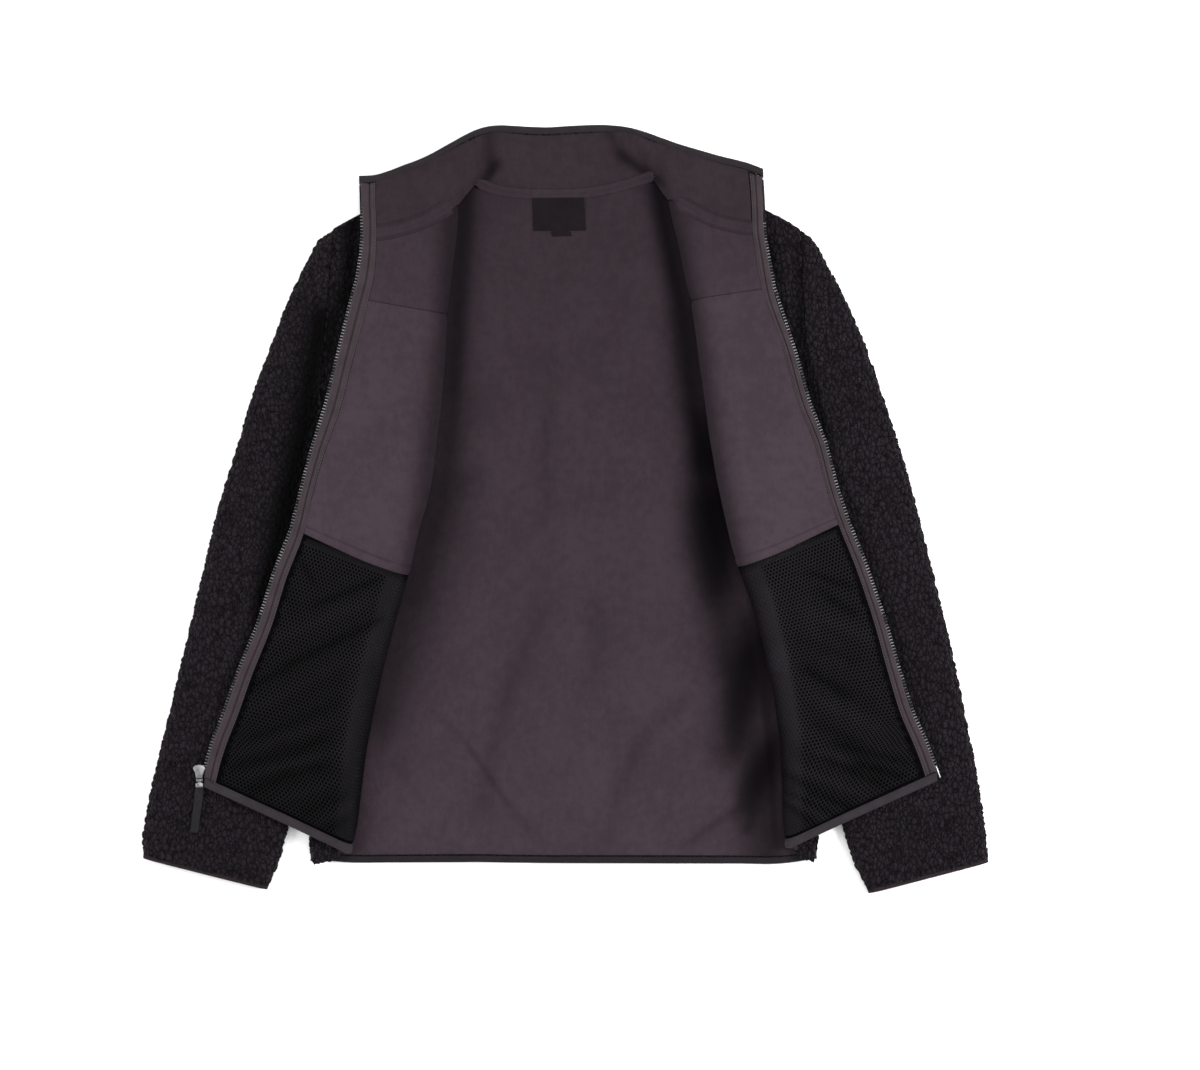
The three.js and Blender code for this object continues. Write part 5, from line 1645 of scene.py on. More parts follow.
@dataclass
class Front:
    """One front, turned back over its sleeve: shell, yoke, chest, pocket bag and net."""

    side: Side
    visible_step: float = 1.7 * MM
    hidden_step: float = 7 * MM
    pitch: float = 3.8 * MM
    seed: float = 1.0
    hem_fold: float = 8.0 * MM
    sag: float = 4.0 * MM
    selvage: float = 8.0 * MM
    turn: float = 33 * MM
    cover: float = 7.5 * MM
    cover_lift: float = 4.0 * MM
    net_lift: float = 0.7 * MM
    net_margin: float = 1.2 * MM
    probes: int = 60
    barely_open: float = 0.08
    fold_reach: float = 12 * MM
    # painted shade beside the side roll and along the hem edge: strength, whole reach, fade
    roll_dim: tuple[float, float, float] = (0.8, 3 * MM, 9 * MM)
    hem_dim: tuple[float, float, float] = (0.88, 6 * MM, 4 * MM)
    # painted shade of the yoke and the chest, at their upper edge and at their lower
    yoke_shade: tuple[float, float] = (0.38, 0.26)
    chest_shade: tuple[float, float] = (0.16, 0.04)

    def node(self, part: str) -> ClothNode:
        """Read one of the front's nodes, with its columns from the side round to the zip."""
        return ClothNode(f"{part}_{self.side.name}", TO_HEM, UP)

    def build(self, looks: Wardrobe, trees: Trees) -> None:
        """Make every cloth of the front."""
        s, creases = self.side.name, CHEST_FOLDS[self.side]
        self.build_shell(trees.pile)
        yoke = LiningSpec(creases=creases, shade=self.yoke_shade)
        chest = LiningSpec(creases=creases, shade=self.chest_shade, seam=self.hem_fold, sag=self.sag)
        for part, spec, seed, size, area in (
            ("yoke", yoke, 0.0, (0.12, 0.085), 0.009), ("chest", chest, 0.6, (0.145, 0.27), 0.032),
        ):
            lining = spec.build(self.node(f"front_lining_{part}"), f"{part}_fleece_{s}")
            run_tree(lining, trees.swell, {"Height": 1.0 * MM, "Size": 50 * MM, "Seed": seed})
            place_piece(lining, "lining", [f"front_lining_{part}_{s}"])
        self.build_pocket(looks, trees)

    def build_shell(self, pile: bpy.types.NodeTree) -> None:
        """Make the folded sherpa: fine where the body's side and hem corner show."""
        cloth = self.node("front_shell")
        knots = cloth.back.col_knots
        steps = [self.visible_step] * 2 + [self.hidden_step] * (len(knots) - 3)
        cols = spaced(knots, steps)
        rows = spaced(cloth.back.row_knots, self.visible_step)
        points = cloth.back.points(rows, cols)
        under_layer = (1 - smooth((cols - knots[3]) / (5 * MM))) * smooth((cols - knots[0]) / (9 * MM))
        points = over_edge(points, rows, self.cover, self.cover_lift, under_layer[None, :])
        # painted shadow from the shoulder folds, on the front's sherpa
        _, shade = folds_over(SHOULDER_FOLDS[self.side], points)
        backing = cloth.face.even(20 * MM, 9 * MM)
        name = f"front_sherpa_{self.side.name}"
        shell = two_skins(name, points, backing, bulge=1.4 * MM, parts=4, shade=shade)
        run_tree(shell, pile, {"Relief": 2.4 * MM, "Seed": self.seed})
        place_piece(shell, "sherpa", [f"front_shell_{self.side.name}"])

    def build_pocket(self, looks: Wardrobe, trees: Trees) -> None:
        """Make the pocket: a dark bag under a real net of round holes."""
        cloth = self.node("pocket_mesh")
        spec = LiningSpec(
            step=2.8 * MM, roll=0.4 * MM, creases=POCKET_FOLDS[self.side],
            shade=POCKET_SHADES[self.side],
        )
        low = spec.build(cloth, f"pocket_bag_{self.side.name}")
        place_piece(low, "mesh", [f"pocket_mesh_{self.side.name}"], finish=looks.bag)
        net = self.lattice(cloth.face)
        run_tree(net, trees.net, {})
        place_piece(net, "mesh")

    def lattice(self, face: Patch) -> bpy.types.Object:
        """Draw an even lattice of triangles just over the pocket.

        Args:
            face: the pocket's outer skin.

        Returns:
            An object with the lattice, one triangle corner at the middle of each hole.
        """
        gap = self.pitch * math.sqrt(3) / 2
        depth, width = face.row_knots[-1], face.col_knots[-1]
        rows = np.arange(self.net_margin, depth - self.net_margin, gap)
        halves = np.arange(self.net_margin, width * 1.5, self.pitch / 2)
        probe = face.points(rows, np.linspace(0, width, self.probes))
        lengths = np.linalg.norm(np.diff(probe, axis=1), axis=2).sum(axis=1)
        ends = face.points(face.row_knots[[0]], np.array([0.0, width]))[0, :, 0]
        from_turn = abs(ends[0]) < abs(ends[1])
        high, low = POCKET_SHADES[self.side]
        points, ids, inward, ajar, dim = [], [], [], [], []
        for i, row in enumerate(rows):
            reach = halves[i % 2 :: 2]
            reach = reach[reach < lengths[i] - 0.8 * MM]
            across = reach * width / lengths[i]
            at = face.points(np.array([row]), across)[0]
            ids.append(len(points) + np.arange(len(at)))
            points.extend(at)
            inward.extend(np.minimum(min(row, depth - row), np.minimum(across, width - across)))
            turned = across if from_turn else width - across
            ajar.extend(smooth((turned - self.turn) / (12 * MM)) * float(row > self.selvage))
            # painted shade where the net turns down at the roll and along the hem edge
            beside_roll = self.fading(self.roll_dim, turned)
            under_hem = self.fading(self.hem_dim, row)
            plain = high + (low - high) * row / rows[-1]
            dim.extend(shaded(plain, np.maximum(beside_roll, under_hem)))
        grid = np.array(points)
        mesh = bpy.data.meshes.new("lattice")
        mesh.from_pydata(grid.tolist(), [], self.lattice_faces(ids))
        mesh.update()
        normals = np.zeros(grid.size)
        mesh.vertices.foreach_get("normal", normals)
        normals = normals.reshape(-1, 3)
        if normals[ids[-1], 2].mean() < 0:
            mesh.flip_normals()
            normals = -normals
        height, shade = folds_over(POCKET_FOLDS[self.side], grid)
        shade = np.clip(shaded(shade, np.array(dim)), 0.0, 1.0)
        set_values(mesh, shade=shade, open=np.maximum(np.array(ajar), self.barely_open))
        raised = height * smooth(np.array(inward) / self.fold_reach) + self.net_lift
        mesh.vertices.foreach_set("co", (grid + normals * raised[:, None]).reshape(-1))
        return placed_object(f"pocket_net_{self.side.name}", mesh)

    @staticmethod
    def fading(dim: tuple[float, float, float], away: Any) -> Any:
        """Fade a shade: its strength, how far it stays whole, and how fast it then dies away."""
        strength, whole, run = dim
        return strength * (1 - smooth((away - whole) / run))

    @staticmethod
    def lattice_faces(ids: Sequence[Array]) -> list[tuple[int, int, int]]:
        """Join rows of points into triangles, every other row half a step on.

        Args:
            ids: the point numbers of each row.

        Returns:
            The triangles.
        """
        faces = []
        for i, (first, second) in enumerate(zip(ids[:-1], ids[1:])):
            for k in range(max(len(first), len(second))):
                if i % 2:
                    trios = [(first, k, second, k, second, k + 1), (first, k, second, k + 1, first, k + 1)]
                else:
                    trios = [(first, k, second, k, first, k + 1), (first, k + 1, second, k, second, k + 1)]
                for a, p, b, q, c, r in trios:
                    if p < len(a) and q < len(b) and r < len(c):
                        faces.append((int(a[p]), int(b[q]), int(c[r])))
        return faces


@dataclass
class Collar:
    """The stand collar: sherpa outside, fleece inside, bound along its top edge."""

    step: float = 3.0 * MM
    pile_step: float = 2.2 * MM
    creases: tuple[Crease, ...] = folds(
        # where it turns from lying on the left front to standing across the back: painted shade
        # beside each turn, and a low ridge
        (-78, 392, -75, 336, 0, 7, 0.4), (-66, 352, -92, 312, -0.2, 6, 0.7), (-88, 372, -96, 330, 0.6, 7),
        (36, 394, 58, 348, 0, 7, 0.35), (50, 360, 98, 324, -0.2, 6, 0.65), (78, 376, 98, 346, 0.6, 7),
    )

    def build(self, trees: Trees, looks: Wardrobe) -> None:
        """Make the collar's two layers."""
        shell = ClothNode("collar_shell", TO_COLLAR, TO_RIGHT)
        pile_side = shell.back.even(self.pile_step, self.pile_step)
        plain = shell.face.even(12 * MM, 12 * MM)
        sherpa = two_skins("collar_sherpa", pile_side, plain, bulge=0.6 * MM, parts=2)
        run_tree(sherpa, trees.pile, {"Relief": 1.6 * MM, "Seed": 6.3})
        place_piece(sherpa, "sherpa", ["collar_shell"])
        spec = LiningSpec(step=self.step, roll=0.35 * MM, creases=self.creases, tuck=3.4 * MM)
        lining = spec.build(ClothNode("collar_lining", TO_COLLAR, TO_RIGHT), "collar_fleece")
        run_tree(lining, trees.swell, {"Height": 0.9 * MM, "Size": 45 * MM, "Seed": 2.2})
        place_piece(lining, "lining", ["collar_lining"], finish=looks.collar_lining)


@dataclass
class Edging:
    """A folded tape round a raw edge, swept along the edge of its node.

    Covered is the share of the node's upper band that it takes, and the overlap is how far its
    upper edge laps down over the cloth. The section is read across its upper face.
    """

    node: str
    name: str
    finish: str
    step: float = 3.0 * MM
    thick: float = 1.15 * MM
    overlap: float = 0.0
    covered: float = 1.0
    crown: float = 0.35 * MM
    crown_run: float = 1.15
    edge_drop: float = 0.25 * MM
    groove: float = 0.35 * MM
    groove_width: float = 0.55 / 7.5
    nose: float = 1.1 * MM
    nose_turns: tuple[float, ...] = (60.0, 30.0, 0.0, -30.0, -60.0)
    sewn: float = 0.8
    flat: tuple[float, float] = (0.3, 0.024)
    section: tuple[float, ...] = (0.0, 0.1, 0.22, 0.36, 0.5, 0.64, 0.78, 0.9, 1.0)

    def lines(self) -> tuple[Array, Array, Array, Array]:
        """Find the tape's edges.

        Returns:
            Its upper inner and outer edges, and its lower outer and inner edges.
        """
        net = NodeNet(self.node)
        grids = [net.grid(faces) for faces in net.skins() if len(faces) >= 8]
        grids = [g if g.shape[0] >= g.shape[1] else g.transpose(1, 0, 2) for g in grids]
        longest = max(g.shape[0] for g in grids)
        grids = [g for g in grids if g.shape[0] == longest]
        noses = [g for g in grids if g.shape[1] == 3]
        nose = max(noses, key=lambda g: float(np.linalg.norm(g[:, 0] - g[:, 2], axis=1).mean()))
        if nose[:, 0, 2].mean() < nose[:, 2, 2].mean():
            nose = nose[:, ::-1]
        upper = self.band(grids, nose[:, 0])
        lower = self.band(grids, nose[:, 2])
        return upper, nose[:, 0], nose[:, 2], lower

    @staticmethod
    def band(grids: Sequence[Array], edge: Array) -> Array:
        """Find the far edge of the flat band that starts at an edge."""
        best, found = 0.0, edge
        for grid in grids:
            if grid.shape[1] != 2:
                continue
            for trial in (grid, grid[::-1]):
                for near, far in ((0, 1), (1, 0)):
                    if np.abs(trial[:, near] - edge).max() < WELD:
                        reach = float(np.linalg.norm(trial[:, far] - edge, axis=1).mean())
                        if reach > best:
                            best, found = reach, trial[:, far]
        return found

    def build(self, looks: Wardrobe) -> tuple[Array, Array]:
        """Sweep the tape.

        Returns:
            The line of its stitching, and the way that it faces.
        """
        lines = self.lines()
        knots = knots_of(lines[1][:, None])
        at = spaced(knots, self.step)
        top_in, top_out, low_out, low_in = (along_rows(line[:, None], knots, at)[:, 0] for line in lines)
        over = (top_in - top_out) * self.covered
        inward, up = unit(over), unit(top_out - low_out)

        def across_top(share: float) -> Array:
            """Read the tape's upper face, which laps down over the cloth's edge."""
            lap = self.overlap * share**3
            return top_out + over * share + inward * lap - up * (0.6 * lap)

        ring = []
        for share in reversed(self.section):
            crown = self.crown * math.sin(math.pi * min(1.0, share * self.crown_run))
            edge = self.edge_drop * (share == 1.0)
            groove = self.groove * bell(share - self.sewn, self.groove_width)
            ring.append(across_top(share) + up * (crown - edge - groove))
        middle = (top_out + low_out) / 2
        half = np.linalg.norm(top_out - low_out, axis=1)[:, None] / 2
        for turn in self.nose_turns:
            c, s = math.cos(math.radians(turn)), math.sin(math.radians(turn))
            ring.append(middle - inward * (self.nose * c) + up * half * s * 0.98)
        under = low_in - low_out
        for share in (0.0, 0.2, 0.5, 0.8, 1.0):
            ring.append(low_out + under * share - up * self.crown * 0.5 * math.sin(math.pi * share))
        inside = (1.0, 0.5, 0.08)
        ring += [low_out + under * share + up * self.thick for share in inside]
        ring += [across_top(share) - up * self.thick for share in reversed(inside)]
        wall = Wall()
        ids = wall.skin(np.stack(ring, axis=1), ring=True)
        wall.cap(ids[0])
        wall.cap(ids[-1, ::-1])
        obj = wall.build(self.name)
        place_piece(obj, "binding", [self.node], finish=getattr(looks, self.finish))
        return top_out + over * self.sewn + up * (0.05 * MM), up


@dataclass
class ZipSide:
    """One side of the open zip: the facing, the tape and its row of metal teeth.

    Each groove and lobe of the facing is its place across, its depth or height and its width,
    and each reach is how far the facing covers the tape, below and on the collar.
    """

    side: Side
    row_step: float = 3.0 * MM
    columns: int = 25
    groove: float = 0.45 * MM
    grooves: tuple[tuple[float, float, float], ...] = ((0.47, 2.4, 0.06), (0.9, 1.6, 0.035))
    edge_turn: float = 1.5
    edge_share: float = 0.07
    # painted shade in the facing's grooves
    groove_shade: float = 0.22
    reach: tuple[float, float] = (2.5 * MM, 4.7 * MM)
    reach_share: float = 0.42
    covered_above: float = 0.297
    top_rise: float = 3.5 * MM
    lobes: tuple[tuple[float, float, float], ...] = ((0.24, 1.5, 0.15), (0.7, 1.7, 0.14))
    sewn: tuple[float, ...] = (0.08, 0.9)
    tooth_pitch: float = 3.1 * MM
    tooth: tuple[float, float, float] = (1.0 * MM, 3.0 * MM, 3.6 * MM)
    inset: float = 1.4 * MM
    least_faces: int = 30
    rim_depth: float = 1.2 * MM
    facing_width: float = 12.4 * MM

    def shape(self, cloth: ClothNode) -> tuple[Array, Array, Array]:
        """Draw the facing's face, with its grooves, over its node.

        Args:
            cloth: the node's skins.

        Returns:
            The points, the way that they face, and each column's painted shade, darker in the grooves.
        """
        rows = spaced(cloth.face.row_knots, self.row_step)
        width = cloth.face.col_knots[-1]
        cols = np.linspace(0, width, self.columns)
        points = cloth.face.points(rows, cols)
        normals = cloth.outward(points)
        share = cols / width
        grooves = sum(deep * bell(share - place, wide) for place, deep, wide in self.grooves)
        lobes = sum(high * bell(share - place, wide) for place, high, wide in self.lobes)
        turned = 1 - smooth(np.minimum(share, 1 - share) / self.edge_share)
        relief = lobes - grooves - self.edge_turn * turned
        points = points + normals * (relief * self.groove)[None, :, None]
        high = smooth((points[:, 0, 1] - self.covered_above) / (8 * MM))
        reach = self.reach[0] * (1 - high) + self.reach[1] * high
        outward = unit(points[:, 0] - points[:, 4])
        spread = smooth(1 - share / self.reach_share)
        points = points + outward[:, None] * (reach[:, None] * spread[None, :])[..., None]
        top = points[0, :, 1].max()
        points[..., 1] += self.top_rise * smooth((points[..., 1] - top + 14 * MM) / (12 * MM)) * spread
        return points, normals, np.clip(self.groove_shade * grooves, 0, 0.7)

    def build(self, looks: Wardrobe, trees: Trees) -> list[tuple[Array, Array]]:
        """Make the facing, the tape and the teeth.

        Returns:
            The facing's stitch lines with the ways that they face.
        """
        s = self.side.name
        cloth = ClothNode(f"facing_{s}", TO_HEM, (-float(self.side.value), 0.0, 0.0))
        points, normals, shade = self.shape(cloth)
        facing = two_skins(f"facing_knit_{s}", points, cloth.back.even(12 * MM, 5 * MM), shade=shade)
        place_piece(facing, "facing", [f"facing_{s}"], finish=looks.facing)
        edge, face = self.zip_edge()
        trims = [self.build_tape(looks), self.build_teeth(trees, edge, face)]
        columns = [int(round(place * (len(shade) - 1))) for place in self.sewn]
        return [(points[:, column], normals[:, column]) for column in columns]

    def zip_edge(self) -> tuple[Array, Array]:
        """Find the tape's outer edge and the way that its face looks."""
        net = NodeNet(f"zip_tape_{self.side.name}")
        toward = (-float(self.side.value), 0.0, 0.0)
        grids = [net.grid(faces) for faces in net.skins() if len(faces) >= self.least_faces]
        grids = [g if g.shape[0] > g.shape[1] else g.transpose(1, 0, 2) for g in grids]
        grids = [g[np.argsort(-g[:, 0, 1])] for g in grids]
        outside = [g for g in grids if float(np.ptp(g[:, :, 0], axis=1).mean()) < self.rim_depth]
        rim = min(outside, key=lambda g: float((g.mean(axis=1) @ np.array(toward)).mean()))
        if rim[:, 0, 2].mean() < rim[:, 1, 2].mean():
            rim = rim[:, ::-1]
        return rim.mean(axis=1), unit(rim[:, 0] - rim[:, 1])

    def build_tape(self, looks: Wardrobe) -> bpy.types.Object:
        """Make the tape from its node."""
        s = self.side.name
        tape = merged_copy(f"zip_tape_{s}", f"zip_tape_knit_{s}")
        return place_piece(tape, "tape", [f"zip_tape_{s}"], finish=looks.tape)

    def build_teeth(self, trees: Trees, edge: Array, face: Array) -> bpy.types.Object:
        """Make the row of teeth along the tape's edge."""
        outward = np.cross(unit(np.gradient(edge, axis=0)), face)
        if float((outward[:, 0] * self.side.value).mean()) < 0:
            edge, face, outward = edge[::-1], face[::-1], -outward[::-1]
        line = edge - outward * self.inset
        seen = line[:, 1] < self.covered_above + 4 * MM
        teeth = line_object(f"zip_teeth_{self.side.name}", [(line[seen], face[seen])])
        length, width, thick = self.tooth
        sizes = {"Pitch": self.tooth_pitch, "Length": length, "Width": width, "Thick": thick}
        run_tree(teeth, trees.teeth, sizes)
        return place_piece(teeth, "metal")


def merged_copy(node: str, name: str) -> bpy.types.Object:
    """Copy a node's mesh, join its loose corners and make flat facets of its triangles.

    Args:
        node: the frame node.
        name: the new piece's name.

    Returns:
        The new object.
    """
    mesh = bpy.data.objects[node].data.copy()
    mesh.materials.clear()
    form = bmesh.new()
    form.from_mesh(mesh)
    bmesh.ops.remove_doubles(form, verts=form.verts, dist=WELD)
    bmesh.ops.join_triangles(
        form, faces=form.faces, angle_face_threshold=0.3, angle_shape_threshold=0.8
    )
    form.to_mesh(mesh)
    form.free()
    mesh.name = name
    return placed_object(name, mesh)


def line_object(name: str, lines: Sequence[tuple[Array, Array]]) -> bpy.types.Object:
    """Make an object of bare lines that carry the way their cloth faces.

    Args:
        name: the object's name.
        lines: for each line its points and their facing directions.

    Returns:
        The object.
    """
    points, faces, edges = [], [], []
    for line, face in lines:
        first = sum(len(p) for p in points)
        points.append(line)
        faces.append(face)
        edges.extend((first + k, first + k + 1) for k in range(len(line) - 1))
    mesh = bpy.data.meshes.new(name)
    mesh.from_pydata(np.concatenate(points).tolist(), edges, [])
    attribute = mesh.attributes.new("face", "FLOAT_VECTOR", "POINT")
    attribute.data.foreach_set("vector", np.concatenate(faces).reshape(-1))
    return placed_object(name, mesh)


def rounded(obj: bpy.types.Object, kind: str, **settings: Any) -> bpy.types.Mesh:
    """Run one rounding modifier on a piece and keep the result, shaded smooth.

    Args:
        obj: the piece.
        kind: the modifier's type.
        settings: its properties.

    Returns:
        The new mesh.
    """
    modifier = obj.modifiers.new("round", kind)
    for key, value in settings.items():
        setattr(modifier, key, value)
    made = kept_mesh(obj, modifier)
    made.polygons.foreach_set("use_smooth", [True] * len(made.polygons))
    return made


def soften(obj: bpy.types.Object, width: float) -> None:
    """Ease a hard piece's sharp edges."""
    made = rounded(
        obj, "BEVEL", width=width, segments=3, limit_method="ANGLE", angle_limit=math.radians(35)
    )
    made.set_sharp_from_angle(angle=math.radians(50))


@dataclass
class Cuff:
    """The bound edge of a cuff."""

    side: Side

    def build(self, looks: Wardrobe) -> None:
        """Make the edging from its node, rounded."""
        s = self.side.name
        cuff = merged_copy(f"cuff_binding_{s}", f"cuff_edge_{s}")
        rounded(cuff, "SUBSURF", levels=2, render_levels=2)
        place_piece(cuff, "binding", [f"cuff_binding_{s}"], finish=looks.cuff)


@dataclass
class Hardware:
    """The slider, its link, the soft tab and the pin at the other foot of the zip."""

    pieces: tuple[tuple[str, str, str, str, float], ...] = (
        # node, name, finish and slot, body, and how far its edges are eased
        ("zip_slider", "slider_body", "metal", BODY, 0.35 * MM),
        ("zip_pin", "foot_pin", "metal", BODY, 0.25 * MM),
        ("pull_link", "pull_plate", "metal", PULL_BODY, 0.22 * MM),
        ("pull_tab", "soft_pull", "tab", PULL_BODY, 0.5 * MM),
    )

    def build(self, looks: Wardrobe) -> None:
        """Make each hard piece from its node with eased edges."""
        for node, name, slot, body, ease in self.pieces:
            piece = merged_copy(node, name)
            soften(piece, ease)
            place_piece(piece, slot, [node], body, finish=getattr(looks, slot))


@dataclass
class Labels:
    """The bare woven neck label and the small tab under it."""

    ease: float = 0.12 * MM

    def build(self, looks: Wardrobe) -> None:
        """Make both labels from their nodes with soft edges."""
        for node, name, flat, area in (
            ("neck_label", "neck_label_cloth", (0.052, 0.033), None),
            ("size_label", "size_label_cloth", (0.019, 0.0101), 0.0001),
        ):
            label = merged_copy(node, name)
            soften(label, self.ease)
            place_piece(label, "label", [node], finish=looks.label)


@dataclass(frozen=True)
class SeamBand:
    """A seam opened flat and stitched down along both sides: a low double ridge.

    Its path is in millimetres.
    """

    name: str
    path: tuple[tuple[float, float], ...]
    over: tuple[str, ...]
    width: float = 11.5 * MM
    rise: float = 0.9 * MM
    sunk: float = 0.9 * MM
    taper: tuple[float, float] = (0.45, 9.0 * MM)
    end_run: float = 10.0 * MM
    end_drop: float = 0.5 * MM
    shade: float = 0.36
    stitched: tuple[int, int] = (4, -5)
    step: float = 2.0 * MM
    flange: float = 0.0
    section: tuple[float, ...] = (0.0, 0.05, 0.12, 0.2, 0.28, 0.4, 0.5, 0.6, 0.72, 0.8, 0.88, 0.95, 1.0)

    def build(self, trees: Trees) -> None:
        """Lay the band over the cloth and stitch it."""
        knots = np.array(self.path) / 1000
        reach = lengths_to(knots)
        at = np.linspace(0, reach[-1], int(reach[-1] / self.step) + 1)
        plan = along_rows(knots[:, None], reach, at)[:, 0]
        heading = unit(np.gradient(plan, axis=0))
        side = np.stack([-heading[:, 1], heading[:, 0]], axis=1)
        share = np.array(self.section)
        from_end = np.minimum(at, at[-1] - at)[:, None]
        least, run = self.taper
        taper = least + (1 - least) * smooth(from_end / run)
        flat = plan[:, None] + side[:, None] * (taper * (share - 0.5)[None] * self.width)[..., None]
        level = self.ground(flat)
        hump = smooth((np.minimum(share, 1 - share) - self.flange) / 0.2)
        flat_edges = 1 - hump
        opening = bell(share - 0.5, 0.1)
        hump = hump - 0.2 * opening
        ends = smooth(from_end / self.end_run)
        top = level + self.rise * (0.25 + 0.75 * hump)[None, :] * ends - self.end_drop * (1 - ends)
        points = np.concatenate([flat, top[..., None]], axis=2)
        under = np.concatenate([flat, (level - self.sunk)[..., None]], axis=2)[::3, ::5]
        # painted shade: darker in the middle groove and on the flat edges
        dark = self.shade + 0.08 * opening + 0.18 * flat_edges
        band = two_skins(self.name, points, under, shade=dark)
        place_piece(band, "lining", finish=trees.cloth)
        up = np.broadcast_to(np.array(UP), (len(at), 3))
        lines = [(points[:, column] + np.array([0, 0, 0.05 * MM]), up) for column in self.stitched]
        sewing = line_object(f"{self.name}_stitches", lines)
        run_tree(sewing, trees.dark_stitch, {"Pitch": 3.2 * MM, "Width": 0.45 * MM, "Thick": 0.3 * MM})
        place_piece(sewing, "lining")
        list(self.over)

    def ground(self, flat: Array) -> Array:
        """Measure how high the cloth lies under each point, with gaps filled from beside them."""
        level = np.full(flat.shape[:2], np.nan)
        for name in self.over:
            mesh = bpy.data.objects[name].data
            corners = [tuple(v.co) for v in mesh.vertices]
            cloth = BVHTree.FromPolygons(corners, [tuple(p.vertices) for p in mesh.polygons])
            for i, j in np.ndindex(level.shape):
                hit = cloth.ray_cast(Vector((*flat[i, j], 0.2)), Vector((0, 0, -1)))[0]
                if hit is not None:
                    level[i, j] = np.nanmax([level[i, j], hit.z])
        fallback = np.nanmin(level, axis=1)
        known = ~np.isnan(fallback)
        fallback = np.interp(np.arange(len(fallback)), np.flatnonzero(known), fallback[known])
        level = np.where(np.isnan(level), fallback[:, None], level)
        for _ in range(3):
            level[1:-1] = np.maximum(level[1:-1], (level[:-2] + level[2:]) / 2)
        return level


SEAM_BANDS = (
    SeamBand(
        "neck_seam_band",
        ((-90.5, 328.5), (-86, 326.5), (-67.4, 320.3), (-40.6, 316.8), (-8.1, 316.1), (24.4, 318),
         (53.1, 323.8), (79, 331.5), (92.5, 335.5)),
        ("back_fleece", "collar_fleece"),
    ),
    SeamBand(
        "collar_seam_band_L",
        ((-195, 274.2), (-166, 280), (-140, 288.5), (-125, 296.5), (-110.5, 306)),
        ("yoke_fleece_L", "collar_fleece"), width=17 * MM, flange=0.15,
    ),
    SeamBand(
        "collar_seam_band_R",
        ((108, 309.2), (127.5, 298.5), (147, 289), (162.8, 284.5), (193, 279)),
        ("yoke_fleece_R", "collar_fleece"), width=15 * MM, flange=0.12,
    ),
)


class Trees:
    """The Geometry Nodes trees that the pieces share."""

    def __init__(self, looks: Wardrobe) -> None:
        """Build every tree once."""
        self.pile = pile_tree(looks.sherpa)
        self.swell = swell_tree(looks.lining)
        self.net = net_tree(looks.net)
        self.teeth = along_tree("zip_teeth", looks.teeth, tooth_shape)
        self.cloth = looks.lining
        self.stitch = along_tree("stitches", looks.thread, stitch_shape)
        self.dark_stitch = along_tree("dark_stitches", looks.binding, stitch_shape)


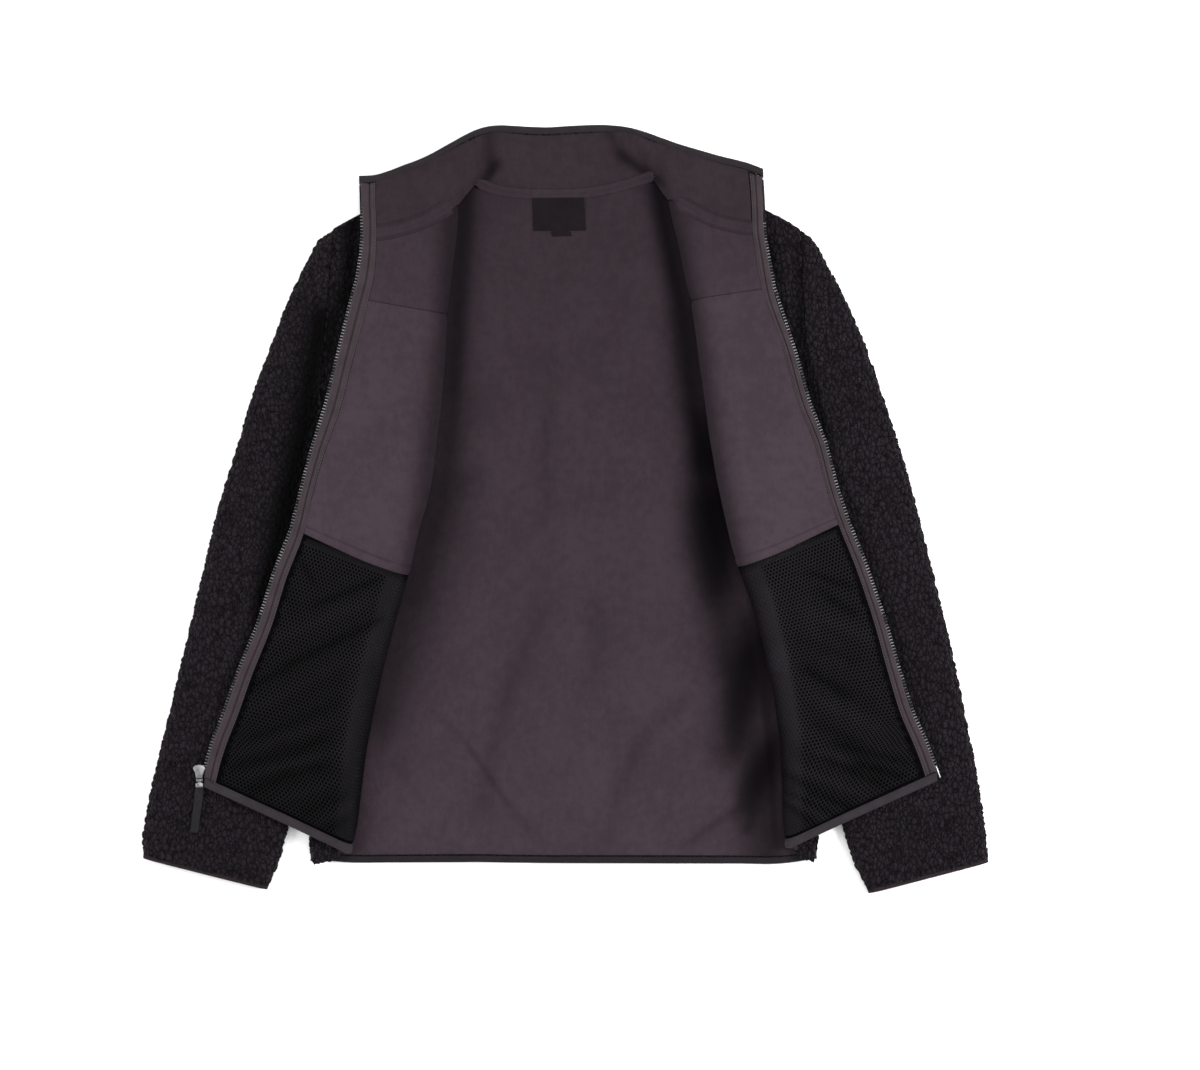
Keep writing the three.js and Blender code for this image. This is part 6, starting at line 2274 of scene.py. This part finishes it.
@dataclass
class Studio:
    """The camera straight above, the pale floor and soft light."""

    view: tuple[float, float] = (0.0346, -0.0258)
    wide: float = 1.2
    lens: float = 100.0
    sensor: float = 36.0
    plane: float = 0.018
    ambient: float = 0.75
    floor: float = 6.0

    def build_camera(self) -> None:
        """Set the camera straight above the jacket."""
        data = bpy.data.cameras.new("above")
        data.lens = self.lens
        data.sensor_width = self.sensor
        data.clip_start, data.clip_end = 0.05, 30.0
        camera = placed_object("above", data)
        camera.location = (*self.view, self.plane + self.wide * self.lens / self.sensor)
        bpy.context.scene.camera = camera

    def build_light(self) -> None:
        """Set the soft lights, the world and the floor."""
        scene = bpy.context.scene
        scene.view_settings.view_transform = "Standard"
        world = bpy.data.worlds.new("studio")
        world.use_nodes = True
        world.node_tree.nodes["Background"].inputs["Color"].default_value = (1, 1, 1, 1)
        world.node_tree.nodes["Background"].inputs["Strength"].default_value = self.ambient
        scene.world = world
        lamps = (
            ("left", (-2.3, 0.2, 1.6), 1.4, 50.0), ("right", (2.1, 0.1, 1.9), 1.0, 76.0),
            ("top", (0.2, 0.5, 2.6), 1.6, 26.0),
        )
        for name, place, size, power in lamps:
            light = bpy.data.lights.new(name, "AREA")
            light.size = size
            light.energy = power
            lamp = placed_object(name, light)
            lamp.location = place
            lamp.rotation_euler = (-Vector(place)).to_track_quat("-Z", "Y").to_euler()
        mesh = bpy.data.meshes.new("floor")
        corners = [(x * self.floor, y * self.floor, 0) for x, y in ((-1, -1), (1, -1), (1, 1), (-1, 1))]
        mesh.from_pydata(corners, [], [(0, 1, 2, 3)])
        mesh.materials.append(FloorFinish().material())
        placed_object("floor", mesh)


FACING_WIDTHS = {Side.L: 12.4 * MM, Side.R: 10.2 * MM}


def main() -> None:
    """Build the studio and every piece of the jacket, in order."""
    logging.basicConfig(level=logging.INFO, format="%(message)s")
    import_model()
    studio = Studio()
    studio.build_camera()
    looks = Wardrobe()
    trees = Trees(looks)
    Back().build(trees.pile, trees.swell)
    Collar().build(trees, looks)
    stitches: list[tuple[Array, Array]] = []
    for side in Side:
        seed = 2.0 + side.value
        Front(side, seed=seed * 3.7).build(looks, trees)
        Sleeve(side, seed=seed * 1.9).build(trees.pile)
        Cuff(side).build(looks)
        stitches += ZipSide(side, facing_width=FACING_WIDTHS[side]).build(looks, trees)
    edgings = [
        Edging("hem_binding_back", "hem_tape_back", "shaded_hem_binding", covered=0.66, flat=(0.51, 0.018)),
        Edging(
            "collar_binding", "collar_tape", "dark_binding", overlap=1.4 * MM, covered=0.62,
            flat=(0.45, 0.016),
        ),
        Edging("hem_binding_L", "hem_tape_L", "binding", flat=(0.265, 0.017)),
        Edging("hem_binding_R", "hem_tape_R", "binding", flat=(0.265, 0.017)),
    ]
    edge_stitches = [edging.build(looks) for edging in edgings]
    sewing = line_object("facing_stitches", stitches)
    run_tree(sewing, trees.stitch, {"Pitch": 3.0 * MM, "Width": 0.55 * MM})
    place_piece(sewing, "facing")
    for band in SEAM_BANDS:
        band.build(trees)
    hems = line_object("edging_stitches", edge_stitches)
    run_tree(hems, trees.dark_stitch, {"Pitch": 3.0 * MM, "Width": 0.5 * MM})
    place_piece(hems, "binding")
    Hardware().build(looks)
    Labels().build(looks)
    studio.build_light()


if __name__ == "__main__":
    main()
